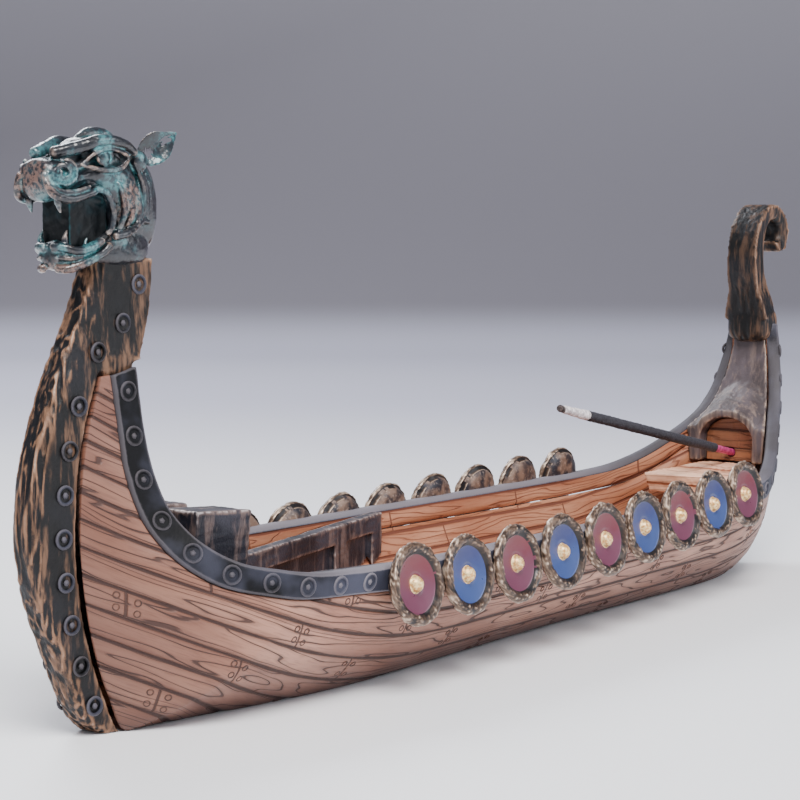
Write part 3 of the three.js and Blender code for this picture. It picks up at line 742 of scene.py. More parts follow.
def skin_point(u, v):
    low = foot_curve(u)
    low[..., 2] = np.maximum(low[..., 2], 0)
    high = sheer_curve(u)
    bilge = low + (high - low) * BILGE
    v = np.asarray(v)[..., None]
    return low * (1 - v) ** 2 + bilge * 2 * v * (1 - v) + high * v**2


def skin_out(u, v):
    """The outward normal of the hull's skin."""
    step = 1e-3
    along = skin_point(np.minimum(u + step, 1), v) - skin_point(np.maximum(u - step, 0), v)
    up = skin_point(u, np.minimum(v + step, 1)) - skin_point(u, np.maximum(v - step, 0))
    out = np.cross(up, along)
    return out / np.linalg.norm(out, axis=-1, keepdims=True)


def below_sheer(u, distance):
    """The v at which the side is this far below the sheer, for an array of u."""
    low = np.zeros_like(u)
    high = np.ones_like(u)
    top = skin_point(u, np.ones_like(u))
    for _ in range(24):
        middle = (low + high) / 2
        under = np.linalg.norm(skin_point(u, middle) - top, axis=-1) > distance
        low = np.where(under, middle, low)
        high = np.where(under, high, middle)
    return low


mid_beam = float(2 * skin_point(np.array(0.5), np.array(1.0))[1])
print(f"hull lines fair, mid-beam {mid_beam:.1f} mm")

# %% [markdown]
# ## Planking
# A strake shell is one grid wrapped round its own section: up the outside, over the top edge and down
# the inside. Its seam is merged and its two ends are filled. The outside sinks at every seam and joint,
# so the planks are there in the mesh and not only in the paint.

# %% Wrapping a grid round a hull wall
WALL = 2.6
BAND_WIDTH = 5.7
BAND_PROUD = 0.5


def wall_shell(stations, v_from, v_to, proud, outer_rows, inner_rows, dent=None, over=0):
    """A closed shell between two levels. dent(x, y, z) sinks the outer face, in millimetres.
    The outer material reaches this many rows over the top edge."""
    u = np.linspace(0, 1, stations)
    low, high = v_from(u), v_to(u)
    rows = []
    for share in np.linspace(0, 1, outer_rows):
        v = low + (high - low) * share
        point = skin_point(u, v)
        depth = -proud * np.ones_like(u)
        if dent is not None:
            depth = depth + dent(point[:, 0], point[:, 1], point[:, 2])
        rows.append(point - skin_out(u, v) * depth[:, None])
    for share in np.linspace(1, 0, inner_rows):
        v = low + (high - low) * share
        rows.append(skin_point(u, v) - skin_out(u, v) * WALL)
    rows.append(rows[0])
    bm = bmesh.new()
    bmesh.ops.create_grid(bm, x_segments=stations - 1, y_segments=len(rows) - 1, size=0.5)
    bm.verts.ensure_lookup_table()
    flat = np.array([v.co[:2] for v in bm.verts]) + 0.5
    column = np.rint(flat[:, 0] * (stations - 1)).astype(int)
    line = np.rint(flat[:, 1] * (len(rows) - 1)).astype(int)
    placed = np.array(rows)[line, column]
    for vertex, point in zip(bm.verts, placed.tolist()):
        vertex.co = point
    bm.faces.ensure_lookup_table()
    inside = outer_rows - 1
    for face in bm.faces:
        rank = sum(line[v.index] for v in face.verts) / 4
        face.material_index = 1 if inside + over < rank < len(rows) - 2 else 0
    bmesh.ops.remove_doubles(bm, verts=bm.verts, dist=0.001)
    ends = bmesh.ops.holes_fill(bm, edges=[e for e in bm.edges if e.is_boundary], sides=0)["faces"]
    for face in ends:
        face.material_index = 0
    return bm


def to_side(bm, side):
    if side < 0:
        bmesh.ops.transform(bm, matrix=Matrix.Diagonal((1, -1, 1, 1)), verts=bm.verts)
    bmesh.ops.recalc_face_normals(bm, faces=bm.faces)
    return bm


SEAM_DEPTH, SEAM_HALF = 0.2, 0.35
JOINT_DEPTH, JOINT_HALF = 0.14, 0.3
LAP_DEPTH = 0.1


def plank_dent(x, _, z):
    lay = strake_lay(x, z)
    row = np.floor(lay / STRAKE)
    to_seam = np.abs(lay / STRAKE - np.rint(lay / STRAKE)) * STRAKE
    along = ((x + joint_shift(row)) / JOINT_SPACING) % 1.0
    to_joint = np.abs(along - 0.5) * JOINT_SPACING
    # Each strake's foot stands a little proud, as on a lapped hull.
    lap = LAP_DEPTH * (lay / STRAKE - row)
    seam = SEAM_DEPTH * np.exp(-((to_seam / SEAM_HALF) ** 2))
    return seam + JOINT_DEPTH * np.exp(-((to_joint / JOINT_HALF) ** 2)) + lap


for side_name, side in SIDES.items():
    shell = wall_shell(
        640, np.zeros_like, lambda u: below_sheer(u, BAND_WIDTH + 0.1), 0.0, 74, 12, plank_dent
    )
    planking = finish_piece(
        to_side(shell, side),
        f"{side_name}_planks",
        [PLANKS, LINING],
        stands_for=[f"{side_name}_planking"],
    )
print("planking:", len(planking.data.polygons), "faces a side")

# %% [markdown]
# ## Rings and nails
# The bands carry cast rings, each a small torus with a sunken eye. A nail on the planks is a much
# smaller ring. Both are made once and set on the surface, facing along its normal.

# %% Rings
def ring_template(radius, tube, around=18, across=7, eye=True):
    """A ring that lies flat round the origin, as a mesh to stamp."""
    bm = bmesh.new()
    loop = bmesh.ops.create_circle(bm, segments=across, radius=tube)["verts"]
    stand = Matrix.Translation((radius, 0, 0)) @ Matrix.Rotation(math.pi / 2, 4, "X")
    bmesh.ops.transform(bm, matrix=stand, verts=loop)
    bmesh.ops.spin(
        bm, geom=loop + list(bm.edges), cent=(0, 0, 0), axis=(0, 0, 1), angle=2 * math.pi, steps=around,
        use_merge=True,
    )
    if eye:
        middle = bmesh.ops.create_icosphere(bm, subdivisions=1, radius=radius * 0.42)["verts"]
        bmesh.ops.transform(bm, matrix=Matrix.Diagonal((1, 1, 0.45, 1)), verts=middle)
    bmesh.ops.recalc_face_normals(bm, faces=bm.faces)
    template = bpy.data.meshes.new("ring")
    bm.to_mesh(template)
    bm.free()
    return template


def ring_piece(name, material, rings, radius, tube, eye=True):
    """rings is a list of (centre, outward direction) on the starboard side. Port gets the mirror."""
    template = ring_template(radius, tube, eye=eye)
    for side_name, side in SIDES.items():
        bm = bmesh.new()
        for centre, out in rings:
            before = len(bm.verts)
            bm.from_mesh(template)
            bm.verts.ensure_lookup_table()
            turn = Vector((out[0], side * out[1], out[2])).to_track_quat("Z", "Y").to_matrix().to_4x4()
            place = Matrix.Translation((centre[0], side * centre[1], centre[2])) @ turn
            for vertex in bm.verts[before:]:
                vertex.co = place @ vertex.co
        mesh_piece = finish_piece(bm, f"{side_name}_{name}", [material])
        store_relief(mesh_piece.data, 3)
    bpy.data.meshes.remove(template)
    print(name, len(rings), "a side")


NAIL_RADIUS = 0.55
NAIL_FROM_JOINT = 1.3
NAIL_ROWS = (0.28, 0.72)  # shares of the way up a strake
NAIL_MISS = 0.5  # a nail whose place is further than this off the planks is left out
grid_u, grid_v = np.meshgrid(
    np.linspace(0.02, 0.98, 900), np.linspace(0.06, 0.98, 140), indexing="ij"
)
places = skin_point(grid_u, grid_v)
facings = skin_out(grid_u, grid_v)
lays = strake_lay(places[..., 0], places[..., 2])
on_planks = grid_v < below_sheer(grid_u[:, 0], BAND_WIDTH + 1.2)[:, None]
nails = []
for row in range(-3, 5):
    for joint in range(-4, 5):
        joint_x = (joint + 0.5) * JOINT_SPACING - joint_shift(row)
        for dx in (-NAIL_FROM_JOINT, NAIL_FROM_JOINT):
            for share in NAIL_ROWS:
                miss = np.abs(lays - (row + share) * STRAKE) + np.abs(places[..., 0] - joint_x - dx)
                miss = np.where(on_planks, miss, np.inf)
                best = np.unravel_index(np.argmin(miss), miss.shape)
                if miss[best] < NAIL_MISS:
                    nails.append((places[best] - facings[best] * 0.1, facings[best]))
ring_piece("nails", NAIL, nails, NAIL_RADIUS, 0.15, eye=False)

# %% [markdown]
# ## Gunwale bands
# A band caps each side from stem to stern post. It wraps over the planking's top edge like the planks'
# own shell, stands half a millimetre proud, and is a little wavy, as if it had been hammered on.

# %% Iron bands
BAND_WAVE = 0.12


def band_dent(x, y, z):
    wobble = np.array([noise.noise(Vector((a, b, c)) * 0.35) for a, b, c in zip(x, y, z)])
    return -BAND_WAVE * wobble


for side_name, side in SIDES.items():
    shell = wall_shell(
        420, lambda u: below_sheer(u, BAND_WIDTH), np.ones_like, BAND_PROUD, 16, 8, band_dent, 3
    )
    shell = to_side(shell, side)
    smoothed(shell, 2)
    band = finish_piece(
        shell,
        f"{side_name}_band",
        [IRON, LINING],
        stands_for=[f"{side_name}_gunwale_band"],
    )
    store_relief(band.data, 4)

RING_RADIUS = 1.45
RING_PITCH = 7.6
SHIELD_ROW = (-73.0, 78.0)  # no rings behind the shields
band_rings = []
fine_u = np.linspace(0.002, 0.998, 3000)
middle_v = below_sheer(fine_u, BAND_WIDTH * 0.5)
line = skin_point(fine_u, middle_v)
run = np.concatenate([[0], np.cumsum(np.linalg.norm(np.diff(line, axis=0), axis=1))])
for distance in np.arange(3.0, run[-1] - 2, RING_PITCH):
    i = int(np.searchsorted(run, distance))
    if SHIELD_ROW[0] < line[i][0] < SHIELD_ROW[1]:
        continue
    out = skin_out(fine_u[i], np.array(middle_v[i]))
    band_rings.append((line[i] + out * (BAND_PROUD - 0.06), out))
ring_piece("band_rings", IRON, band_rings, RING_RADIUS, 0.34)

# %% [markdown]
# ## Stem, stern post and other carved timber
# The posts look like weathered driftwood: long ridges that follow the wood, with silver and bronze on
# the ridges. The solid's own shape is fused to an even skin, its corners are rounded by smoothing, and
# a stretched noise cuts the ridges.

# %% Carved timber
def stretched(direction, tight, long):
    """A function that measures a point quickly across a direction and slowly along it."""
    along = Vector(direction).normalized()

    def measure(p):
        part = along * p.dot(along)
        return (p - part) * tight + part * long

    return measure


def ridges(measure, depth):
    """A carve function for long sharp ridges with a finer grain over them."""

    def cut(p, _):
        q = measure(p)
        rough = 1 - abs(noise.noise(q)) * 2
        fine = noise.noise(q * 2.3 + Vector((5, 1, 7)))
        return depth * (rough - 0.6 + 0.35 * fine)

    return cut


def carved(node, name, material, voxel, rounding, cut, relief_rounds=16, plugs=()):
    bm = cad_copy(node)
    for centre, radii in plugs:
        plug(bm, centre, radii)
    bm = remeshed(bm, voxel)
    smoothed(bm, rounding)
    if cut is not None:
        carve(bm, cut)
    piece = finish_piece(bm, name, [material], stands_for=[node])
    store_relief(piece.data, relief_rounds)
    print(name, len(piece.data.polygons), "faces")
    return piece


print("carving tools ready")

# %% [markdown]
# The stem is rough on its leading face and calm on its flanks, where the rings sit. `brushed` follows the
# same rule, so that the silver lies on the rough face. Plugs of filler close the joints of the two posts.

# %% Posts, deck and boxes
UPRIGHT = stretched((0.05, 0, 1), 0.8, 0.1)
LENGTHWISE = stretched((1, 0, 0), 0.6, 0.08)


def front_share(normal):
    """1 on a face that looks ahead, 0 on a flank."""
    return min(1.0, max(0.0, (-normal.x - 0.25) / 0.3))


def stem_cut(p, normal):
    rough = ridges(UPRIGHT, 0.34)(p, normal)
    calm = 0.09 * noise.noise(p * 0.5) + 0.1 * noise.noise(UPRIGHT(p) * 1.7)
    share = front_share(normal)
    return share * rough + (1 - share) * calm - 0.08


def brush_by_side(mesh, front, flank):
    normals = np.empty(len(mesh.vertices) * 3)
    mesh.vertices.foreach_get("normal", normals)
    ahead = np.clip((-normals.reshape(-1, 3)[:, 0] - 0.2) / 0.3, 0, 1)
    store_value(mesh, "brushed", front * ahead + flank * (1 - ahead))


def plug(bm, centre, radii):
    """A block with soft corners that fills the joint between two timbers."""
    made = bmesh.ops.create_uvsphere(bm, u_segments=24, v_segments=16, radius=1.0)["verts"]
    for v in made:
        squared = Vector([math.copysign(abs(c) ** 0.6, c) for c in v.co])
        v.co = Vector(centre) + Vector([c * r for c, r in zip(squared, radii)])


stem = carved(
    "bow_stem", "stem_and_neck", TIMBER, 0.34, 5, stem_cut,
    plugs=[((BOW + 19.0, 0, 62.4), (4.4, 4.5, 3.0))],
)
brush_by_side(stem.data, 1.0, 0.85)
post = carved(
    "stern_post", "stern_post_scroll", TIMBER, 0.34, 5, ridges(UPRIGHT, 0.14),
    plugs=[((STERN - 11.8, 0, 60.0), (4.6, 5.9, 4.6))],
)
brush_by_side(post.data, 0.35, 0.9)
breast = carved("stern_breast", "breast", BREAST_TIMBER, 0.34, 6, ridges(UPRIGHT, 0.1))
brush_by_side(breast.data, 0.6, 1.0)
deck = carved("foredeck", "deck_boards", DECK_TIMBER, 0.5, 2, ridges(LENGTHWISE, 0.12))
brush_by_side(deck.data, 0.9, 0.9)
for side_name in SIDES:
    for node, made in (("fore_frame", "panel_frame"), ("bench", "bench_box")):
        box = carved(
            f"{side_name}_{node}", f"{side_name}_{made}", DECK_TIMBER, 0.27, 2,
            ridges(LENGTHWISE, 0.09),
        )
        brush_by_side(box.data, 1.0, 1.0)

# %% [markdown]
# The same rings run up both sides of the stem and on up the neck.

# %% Rings on the stem
stem_rings = []
foot_line = foot_curve(np.linspace(0, 7 / 23, 700))
for height in np.arange(5.5, 60, 7.2):
    i = int(np.argmin(np.abs(foot_line[:, 2] - height)))
    stem_rings.append(((foot_line[i][0] - 3.2, 3.68, height), (-0.1, 1, 0)))
for x, z in ((14.4, 64.6), (20.3, 69.2), (24.2, 75.6)):
    stem_rings.append(((BOW + x, 3.75, z), (0, 1, 0)))
ring_piece("stem_rings", IRON, stem_rings, RING_RADIUS, 0.3)

# %% [markdown]
# The boards of the trough, the seat and the niche keep their solids' shapes, worn by the same ridges.

# %% Trough floor, seat and niche
carved("trough_floor", "floor_boards", LINING, 0.6, 2, ridges(LENGTHWISE, 0.12))
carved("stern_seat", "seat_plank", SEAT_WOOD, 0.3, 3, ridges(LENGTHWISE, 0.14))
carved("stern_niche", "niche_panel", NICHE_WOOD, 0.2, 3, ridges(UPRIGHT, 0.1))
carved("keel_plate", "keel_sole", PLANKS, 0.6, 1, None)

# %% [markdown]
# ## The incense stick
# A stick is bamboo dipped in paste: the coating is slightly lumpy, the dyed end is bare, and the burnt
# end is a fragile grey rod with a dark spent tip.

# %% Stick
core_low, core_high = (1000 * Vector(c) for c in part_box("stick_core"))
ash_low, ash_high = (1000 * Vector(c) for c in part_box("stick_ash"))
axis = (Vector((ash_low.x, 0, ash_high.z)) - Vector((core_high.x, 0, core_low.z))).normalized()
EMBER_LENGTH = 1.6


def rod(node, name, material, wobble, voxel=0.16):
    bm = remeshed(cad_copy(node), voxel)
    smoothed(bm, 3)
    carve(bm, lambda p, n: wobble * noise.noise(p * 0.9) + 0.4 * wobble * noise.noise(p * 3.1))
    piece = finish_piece(bm, name, [material], body="incense_stick", stands_for=[node])
    store_relief(piece.data, 6)
    return piece


rod("stick_core", "stick_bamboo", DYED, 0.03, 0.12)
rod("stick_coating", "stick_paste", PASTE, 0.1)
ash_rod = rod("stick_ash", "stick_burnt_end", ASH, 0.16)
ash_rod.data.materials.append(EMBER)
tip_x = (ash_low.x + EMBER_LENGTH) / 1000
for face in ash_rod.data.polygons:
    if face.center.x < tip_x:
        face.material_index = 1
print("stick points up", round(math.degrees(math.asin(axis.z)), 1), "degrees towards the bow")

# %% [markdown]
# ## Shields
# A shield is turned: a profile spun about its axle. The rim is beaten metal, so the spun mesh gets
# pebbles by a cell noise, and the outline turns a little ragged. The field is dished and glossy, and
# the boss is a gold button. Nine a side, red and blue by turns, leaning outboard with the hull.

# %% Spinning a shield
SHIELD_RADIUS = 7.75
SHIELD_BACK = 3.0
SHIELD_FLARE = math.radians(9)
FIELD_RADIUS = 5.4
BOSS_RADIUS = 1.6
SHIELD_STEPS = 88
SHIELDS_PER_SIDE = 9


def arc(centre, radius, start, end, count):
    return [
        (
            centre[0] + radius * math.cos(math.radians(start + (end - start) * i / (count - 1))),
            centre[1] + radius * math.sin(math.radians(start + (end - start) * i / (count - 1))),
        )
        for i in range(count)
    ]


def field_level(reach):
    """How high the dished field stands at this distance from the axle."""
    return -0.1 - 0.35 * (1 - (reach / FIELD_RADIUS) ** 2)


def shield_profile():
    """(distance from the axle, height) from the back's middle over the rim to the boss's top."""
    reach = SHIELD_RADIUS - 0.7
    back = [(0.001, -SHIELD_BACK)]
    for r in np.linspace(0.8, reach, 14):
        back.append((r, -0.9 - (SHIELD_BACK - 0.9) * math.sqrt(1 - (r / reach) ** 2)))
    edge = arc((SHIELD_RADIUS - 0.85, -0.25), 0.85, -50, 30, 5)
    crown = arc((SHIELD_RADIUS - 1.15, -0.3), 1.15, 40, 120, 8)
    lip = [(FIELD_RADIUS + 0.25, 0.35), (FIELD_RADIUS, -0.1)]
    field = [(r, field_level(r)) for r in np.linspace(FIELD_RADIUS - 0.3, 2.1, 8)]
    boss = [(BOSS_RADIUS + 0.15, -0.55)] + arc((0, -0.6), BOSS_RADIUS, 8, 88, 6)
    return back + edge + crown + lip + field + boss


def pebbles(p, seed):
    """0 between two pebbles, higher towards the middle of one."""
    near = noise.voronoi(p * PEBBLE_SCALE + seed)[0]
    return near[1] - near[0]


print("shield profile of", len(shield_profile()), "points")

# %% [markdown]
# The hull narrows behind each shield, so a shield first moves outboard until its field is clear of the
# band. Then the profile is spun, pebbles are raised on the metal, and each face gets its finish.

# %% Setting the shields
band_u, band_share = np.meshgrid(np.linspace(0.2, 0.9, 1200), np.linspace(0, 1, 12), indexing="ij")
band_v = below_sheer(band_u[:, 0], BAND_WIDTH)[:, None] * (1 - band_share) + band_share
BAND_FACE = (skin_point(band_u, band_v) + skin_out(band_u, band_v) * (BAND_PROUD + 0.12)).reshape(-1, 3)
FIELD_CLEAR = 0.2
PEBBLE_SCALE = 1.25
PEBBLE_HEIGHT = 0.34
BACK_FROM = -1.2  # the finish changes at this height, round the rim


def shift_to_clear(place):
    """How far outboard a shield has to move for its field to stand clear of the band behind it."""
    back = np.array(place.inverted())
    local = BAND_FACE @ back[:3, :3].T + back[:3, 3]
    reach = np.hypot(local[:, 0], local[:, 1])
    behind = reach < FIELD_RADIUS
    return max(0.0, float((local[:, 2] - field_level(reach) + FIELD_CLEAR)[behind].max()))


def spun_shield():
    bm = bmesh.new()
    rows = [bm.verts.new((r, 0, h)) for r, h in shield_profile()]
    edges = [bm.edges.new(pair) for pair in zip(rows, rows[1:])]
    bmesh.ops.spin(
        bm, geom=rows + edges, cent=(0, 0, 0), axis=(0, 0, 1), angle=2 * math.pi, steps=SHIELD_STEPS,
        use_merge=True,
    )
    bmesh.ops.remove_doubles(bm, verts=bm.verts, dist=2 * SAME_POINT)
    bmesh.ops.recalc_face_normals(bm, faces=bm.faces)
    return bm


def beat_metal(bm, seed):
    """Raises pebbles on the rim, faint ones on the back, and stores how high each point is on the dish."""
    dish_height = bm.verts.layers.float.new("dish_height")
    bm.normal_update()
    moves = []
    for v in bm.verts:
        share = 1 if math.hypot(v.co.x, v.co.y) > FIELD_RADIUS + 0.2 else 0
        if v.co.z < BACK_FROM + 0.1:
            share = 0.25
        bump = pebbles(v.co, seed) * PEBBLE_HEIGHT + 0.3 * noise.noise(v.co * 0.4 + seed)
        moves.append((v, v.normal * (bump - 0.22) * share))
        v[dish_height] = v.co.y / FIELD_RADIUS
    for v, move in moves:
        v.co += move


def share_out_finishes(bm):
    """Rim 0, field 1, boss 2 and back 3."""
    for face in bm.faces:
        middle = face.calc_center_median()
        reach = math.hypot(middle.x, middle.y)
        if middle.z < BACK_FROM:
            face.material_index = 3
        elif reach > FIELD_RADIUS + 0.12:
            face.material_index = 0
        else:
            face.material_index = 2 if reach < BOSS_RADIUS + 0.1 else 1


def make_shield(index, side_name, side):
    low, high = (1000 * Vector(c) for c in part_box(f"{side_name}_shield_{index + 1}"))
    bm = spun_shield()
    beat_metal(bm, Vector((13.7 * index + (5.1 if side > 0 else 0), 0, 0)))
    share_out_finishes(bm)
    # The front of the rim, which leans, lies on the solid's outboard face.
    outboard = max(high.y, -low.y) - SHIELD_RADIUS * math.sin(SHIELD_FLARE) - 0.75
    middle = Matrix.Translation(((low.x + high.x) / 2, outboard, (low.z + high.z) / 2))
    place = middle @ Matrix.Rotation(SHIELD_FLARE, 4, "X") @ Matrix.Rotation(-math.pi / 2, 4, "X")
    place = place @ Matrix.Translation((0, 0, shift_to_clear(place)))
    mirror = Matrix.Diagonal((1, -1, 1, 1))
    if side < 0:
        place = mirror @ place
    bmesh.ops.transform(bm, matrix=place @ mirror, verts=bm.verts)
    bmesh.ops.recalc_face_normals(bm, faces=bm.faces)
    field = ("red", RED) if index % 2 == 0 else ("blue", BLUE)
    piece = finish_piece(
        bm,
        f"{side_name}_round_shield_{index + 1}",
        [RIM, field[1], GOLD, DOME],
        stands_for=[f"{side_name}_shield_{index + 1}"],
    )
    store_relief(piece.data, 8)
    return piece


for side_name, side in SIDES.items():
    for index in range(SHIELDS_PER_SIDE):
        shield = make_shield(index, side_name, side)
print("shields of", len(shield.data.polygons), "faces")

# %% [markdown]
# ## The dragon's head
# The head is built the way a modeller builds in wax: balls and rolls of material are pressed together,
# and the joins vanish when they are fused. Rolls follow smooth curves, and each pair is made for one
# side and mirrored.

# %% Wax tools
ROLL_ASIDE = np.array([0.37, 0.83, -0.42])  # no roll on the head runs this way


def ball(bm, centre, radii, turn=(0, 0, 0)):
    made = bmesh.ops.create_uvsphere(bm, u_segments=24, v_segments=16, radius=1.0)["verts"]
    spin = Matrix.Rotation(math.radians(turn[2]), 4, "Z")
    spin @= Matrix.Rotation(math.radians(turn[1]), 4, "Y") @ Matrix.Rotation(math.radians(turn[0]), 4, "X")
    place = Matrix.Translation(Vector(centre)) @ spin @ Matrix.Diagonal((*radii, 1))
    bmesh.ops.transform(bm, matrix=place, verts=made)
    return made


def roll(bm, points, radii, steps=26, sides=12):
    """A roll of wax along a smooth curve through the points, with a radius at each: one ball, drawn out."""
    curve = through(points)
    made = bmesh.ops.create_uvsphere(bm, u_segments=sides, v_segments=steps, radius=1.0)["verts"]
    unit = np.array([v.co for v in made])
    share = np.arccos(np.clip(unit[:, 2], -1, 1)) / math.pi
    turn = np.arctan2(unit[:, 1], unit[:, 0])[:, None]
    middle = curve(share)
    ahead = curve(np.minimum(share + 0.01, 1)) - curve(np.maximum(share - 0.01, 0))
    ahead /= np.linalg.norm(ahead, axis=1)[:, None]
    across = np.cross(ahead, ROLL_ASIDE)
    across /= np.linalg.norm(across, axis=1)[:, None]
    up = np.cross(ahead, across)
    line = curve(np.linspace(0, 1, 60))
    length = np.linalg.norm(np.diff(line, axis=0), axis=1).sum()
    width = np.interp(share, np.linspace(0, 1, len(radii)), radii)
    # The ends are round: each closes over a length equal to its own radius.
    to_end = np.minimum(np.minimum(share, 1 - share) * length / width, 1)
    width = width * np.sqrt(1 - (1 - to_end) ** 2)
    placed = middle + (across * np.cos(turn) + up * np.sin(turn)) * width[:, None]
    for vertex, point in zip(made, placed.tolist()):
        vertex.co = point


def at(x, y, z):
    """A place on the head, with x measured aft from the bow."""
    return (BOW + x, y, z)


def rolls(bm, side, table):
    """Rolls from rows of (points on the starboard side, radii, steps)."""
    for points, radii, steps in table:
        roll(bm, [at(x, side * y, z) for x, y, z in points], radii, steps)


print("wax tools ready")

# %% [markdown]
# The skull starts from the solid, with the snout pressed on and the eye sockets, temples and cheeks pressed
# in. The features are rolls laid on top, listed for the starboard side with x measured aft from the bow.

# %% Pressing hollows and winding volutes
def dent(centre, radii, depth):
    """A hollow pressed into both sides of the wax, as a carve function."""
    cx, cy, cz = at(*centre)

    def press(p, _):
        reach = (p.x - cx, abs(p.y) - cy, p.z - cz)
        return -depth * math.exp(-sum((r / radius) ** 2 for r, radius in zip(reach, radii)))

    return press


def spiral(bm, side, centre, out, radius, turns, thick):
    """A volute wound on a plane that faces out."""
    out = Vector((out[0], side * out[1], out[2])).normalized()
    up = Vector((0, 0, 1))
    ahead = up.cross(out).normalized()
    if ahead.x > 0:
        ahead = -ahead
    middle = Vector(at(centre[0], side * centre[1], centre[2]))
    steps = int(12 * turns)
    line = []
    for i in range(steps + 1):
        share = i / steps
        turn = 2 * math.pi * turns * share + math.pi / 2
        reach = radius * (1 - 0.8 * share)
        place = middle + ahead * (reach * math.cos(turn)) + up * (reach * math.sin(turn))
        line.append(tuple(place + out * (0.5 * share)))
    roll(bm, line, (thick, thick * 0.65), int(30 * turns))


SOCKET = [
    (15.2 + 1.75 * math.cos(a), 5.05, 96.6 + 1.25 * math.sin(a)) for a in np.linspace(0, 6.4, 14)
]
FACE_ROLLS = [
    # Upper lip, from the nostril round the muzzle to the corner of the mouth, and a fold over it.
    (((3.7, 2.9, 94.2), (3.6, 3.3, 92.4), (4.4, 4.1, 90.6), (7.0, 5.0, 89.7), (10.2, 5.3, 90.3),
      (13.0, 5.4, 91.2)), (0.45, 0.6, 0.75, 0.8, 0.7, 0.6), 44),
    (((4.3, 3.7, 92.2), (5.6, 4.7, 91.0), (8.4, 5.3, 91.0), (11.6, 5.4, 91.9)),
     (0.3, 0.42, 0.45, 0.3), 34),
    # The rim behind the open mouth.
    (((12.2, 5.3, 91.3), (14.6, 5.4, 91.0), (16.2, 5.4, 89.2), (16.7, 5.3, 87.2), (16.4, 5.1, 85.2),
      (15.6, 4.9, 83.9)), (0.6, 0.65, 0.62, 0.6, 0.6, 0.5), 40),
    # Brow, from the overhanging front over the eye to the ear.
    (((5.6, 1.9, 97.0), (8.2, 2.9, 97.6), (11.2, 4.2, 98.4), (14.0, 5.1, 99.3), (17.0, 5.4, 99.3),
      (20.0, 5.4, 98.6), (22.4, 5.2, 97.2)), (1.0, 1.15, 1.15, 1.1, 1.0, 0.85, 0.6), 52),
    # Upper lid, and the lower lid, which is the heavier one. Then the rim round the eyeball.
    (((10.3, 4.7, 95.4), (12.6, 5.3, 97.2), (15.2, 5.5, 98.0), (18.2, 5.5, 97.7), (20.9, 5.2, 96.6)),
     (0.25, 0.36, 0.4, 0.38, 0.25), 46),
    (((9.8, 4.6, 95.4), (12.2, 5.2, 94.8), (15.2, 5.5, 94.5), (18.4, 5.5, 94.9), (20.9, 5.2, 96.6)),
     (0.28, 0.42, 0.52, 0.48, 0.28), 46),
    (SOCKET, (0.26, 0.26), 44),
    # The jaw's hinge: a curl that ends in a fin.
    (((16.8, 5.0, 83.6), (19.2, 5.3, 84.0), (21.6, 5.0, 84.8), (24.2, 4.6, 86.2), (26.4, 4.2, 86.0)),
     (0.6, 0.75, 0.7, 0.55, 0.3), 36),
    # Upper fang.
    (((6.0, 3.2, 90.2), (6.2, 3.3, 88.8), (6.7, 3.3, 87.4)), (0.75, 0.55, 0.12), 18),
]
# Cheek folds behind the mouth: how far aft each lies, and how low it ends.
FACE_ROLLS += [
    (((17.8 + aft, 5.1 - 0.06 * aft, 92.8), (19.0 + aft, 5.4 - 0.12 * aft, 90.0),
      (19.2 + aft, 5.3 - 0.14 * aft, 87.2), (18.0 + aft, 5.0 - 0.1 * aft, low)),
     (0.35, 0.6, 0.6, 0.35), 30)
    for aft, low in ((0.0, 84.2), (2.1, 85.0), (4.0, 84.0))
]
# Mane: strands from the ear down the nape.
FACE_ROLLS += [
    (((22.6 + 1.25 * i, 4.9 - 0.35 * i, 95.4 - 0.5 * i), (24.2 + 1.1 * i, 4.9 - 0.45 * i, 92.2),
      (24.4 + 1.1 * i, 4.9 - 0.5 * i, 88.6), (23.6 + 1.2 * i, 4.7 - 0.45 * i, 85.4)),
     (0.35, 0.5, 0.5, 0.25), 34)
    for i in range(4)
]
HOLLOWS = [
    # Eye socket, its front corner, and the dip over the snout.
    dent((15.2, 5.6, 96.3), (5.0, 2.0, 1.9), 1.7),
    dent((10.8, 5.2, 94.8), (2.2, 2.5, 1.4), 1.2),
    dent((8.0, 3.4, 97.2), (4.5, 3.0, 0.9), 0.9),
    # Cheek, temple, nape and jaw corner.
    dent((17.2, 5.2, 92.6), (1.6, 2.0, 1.6), 0.5),
    dent((23.4, 5.0, 93.4), (1.0, 2.0, 3.0), 0.8),
    dent((25.4, 5.0, 89.0), (0.7, 2.0, 5.0), 0.5),
    dent((18.6, 5.4, 86.2), (0.8, 2.0, 2.2), 0.7),
]
print(len(FACE_ROLLS), "rolls and", len(HOLLOWS), "hollows a side")


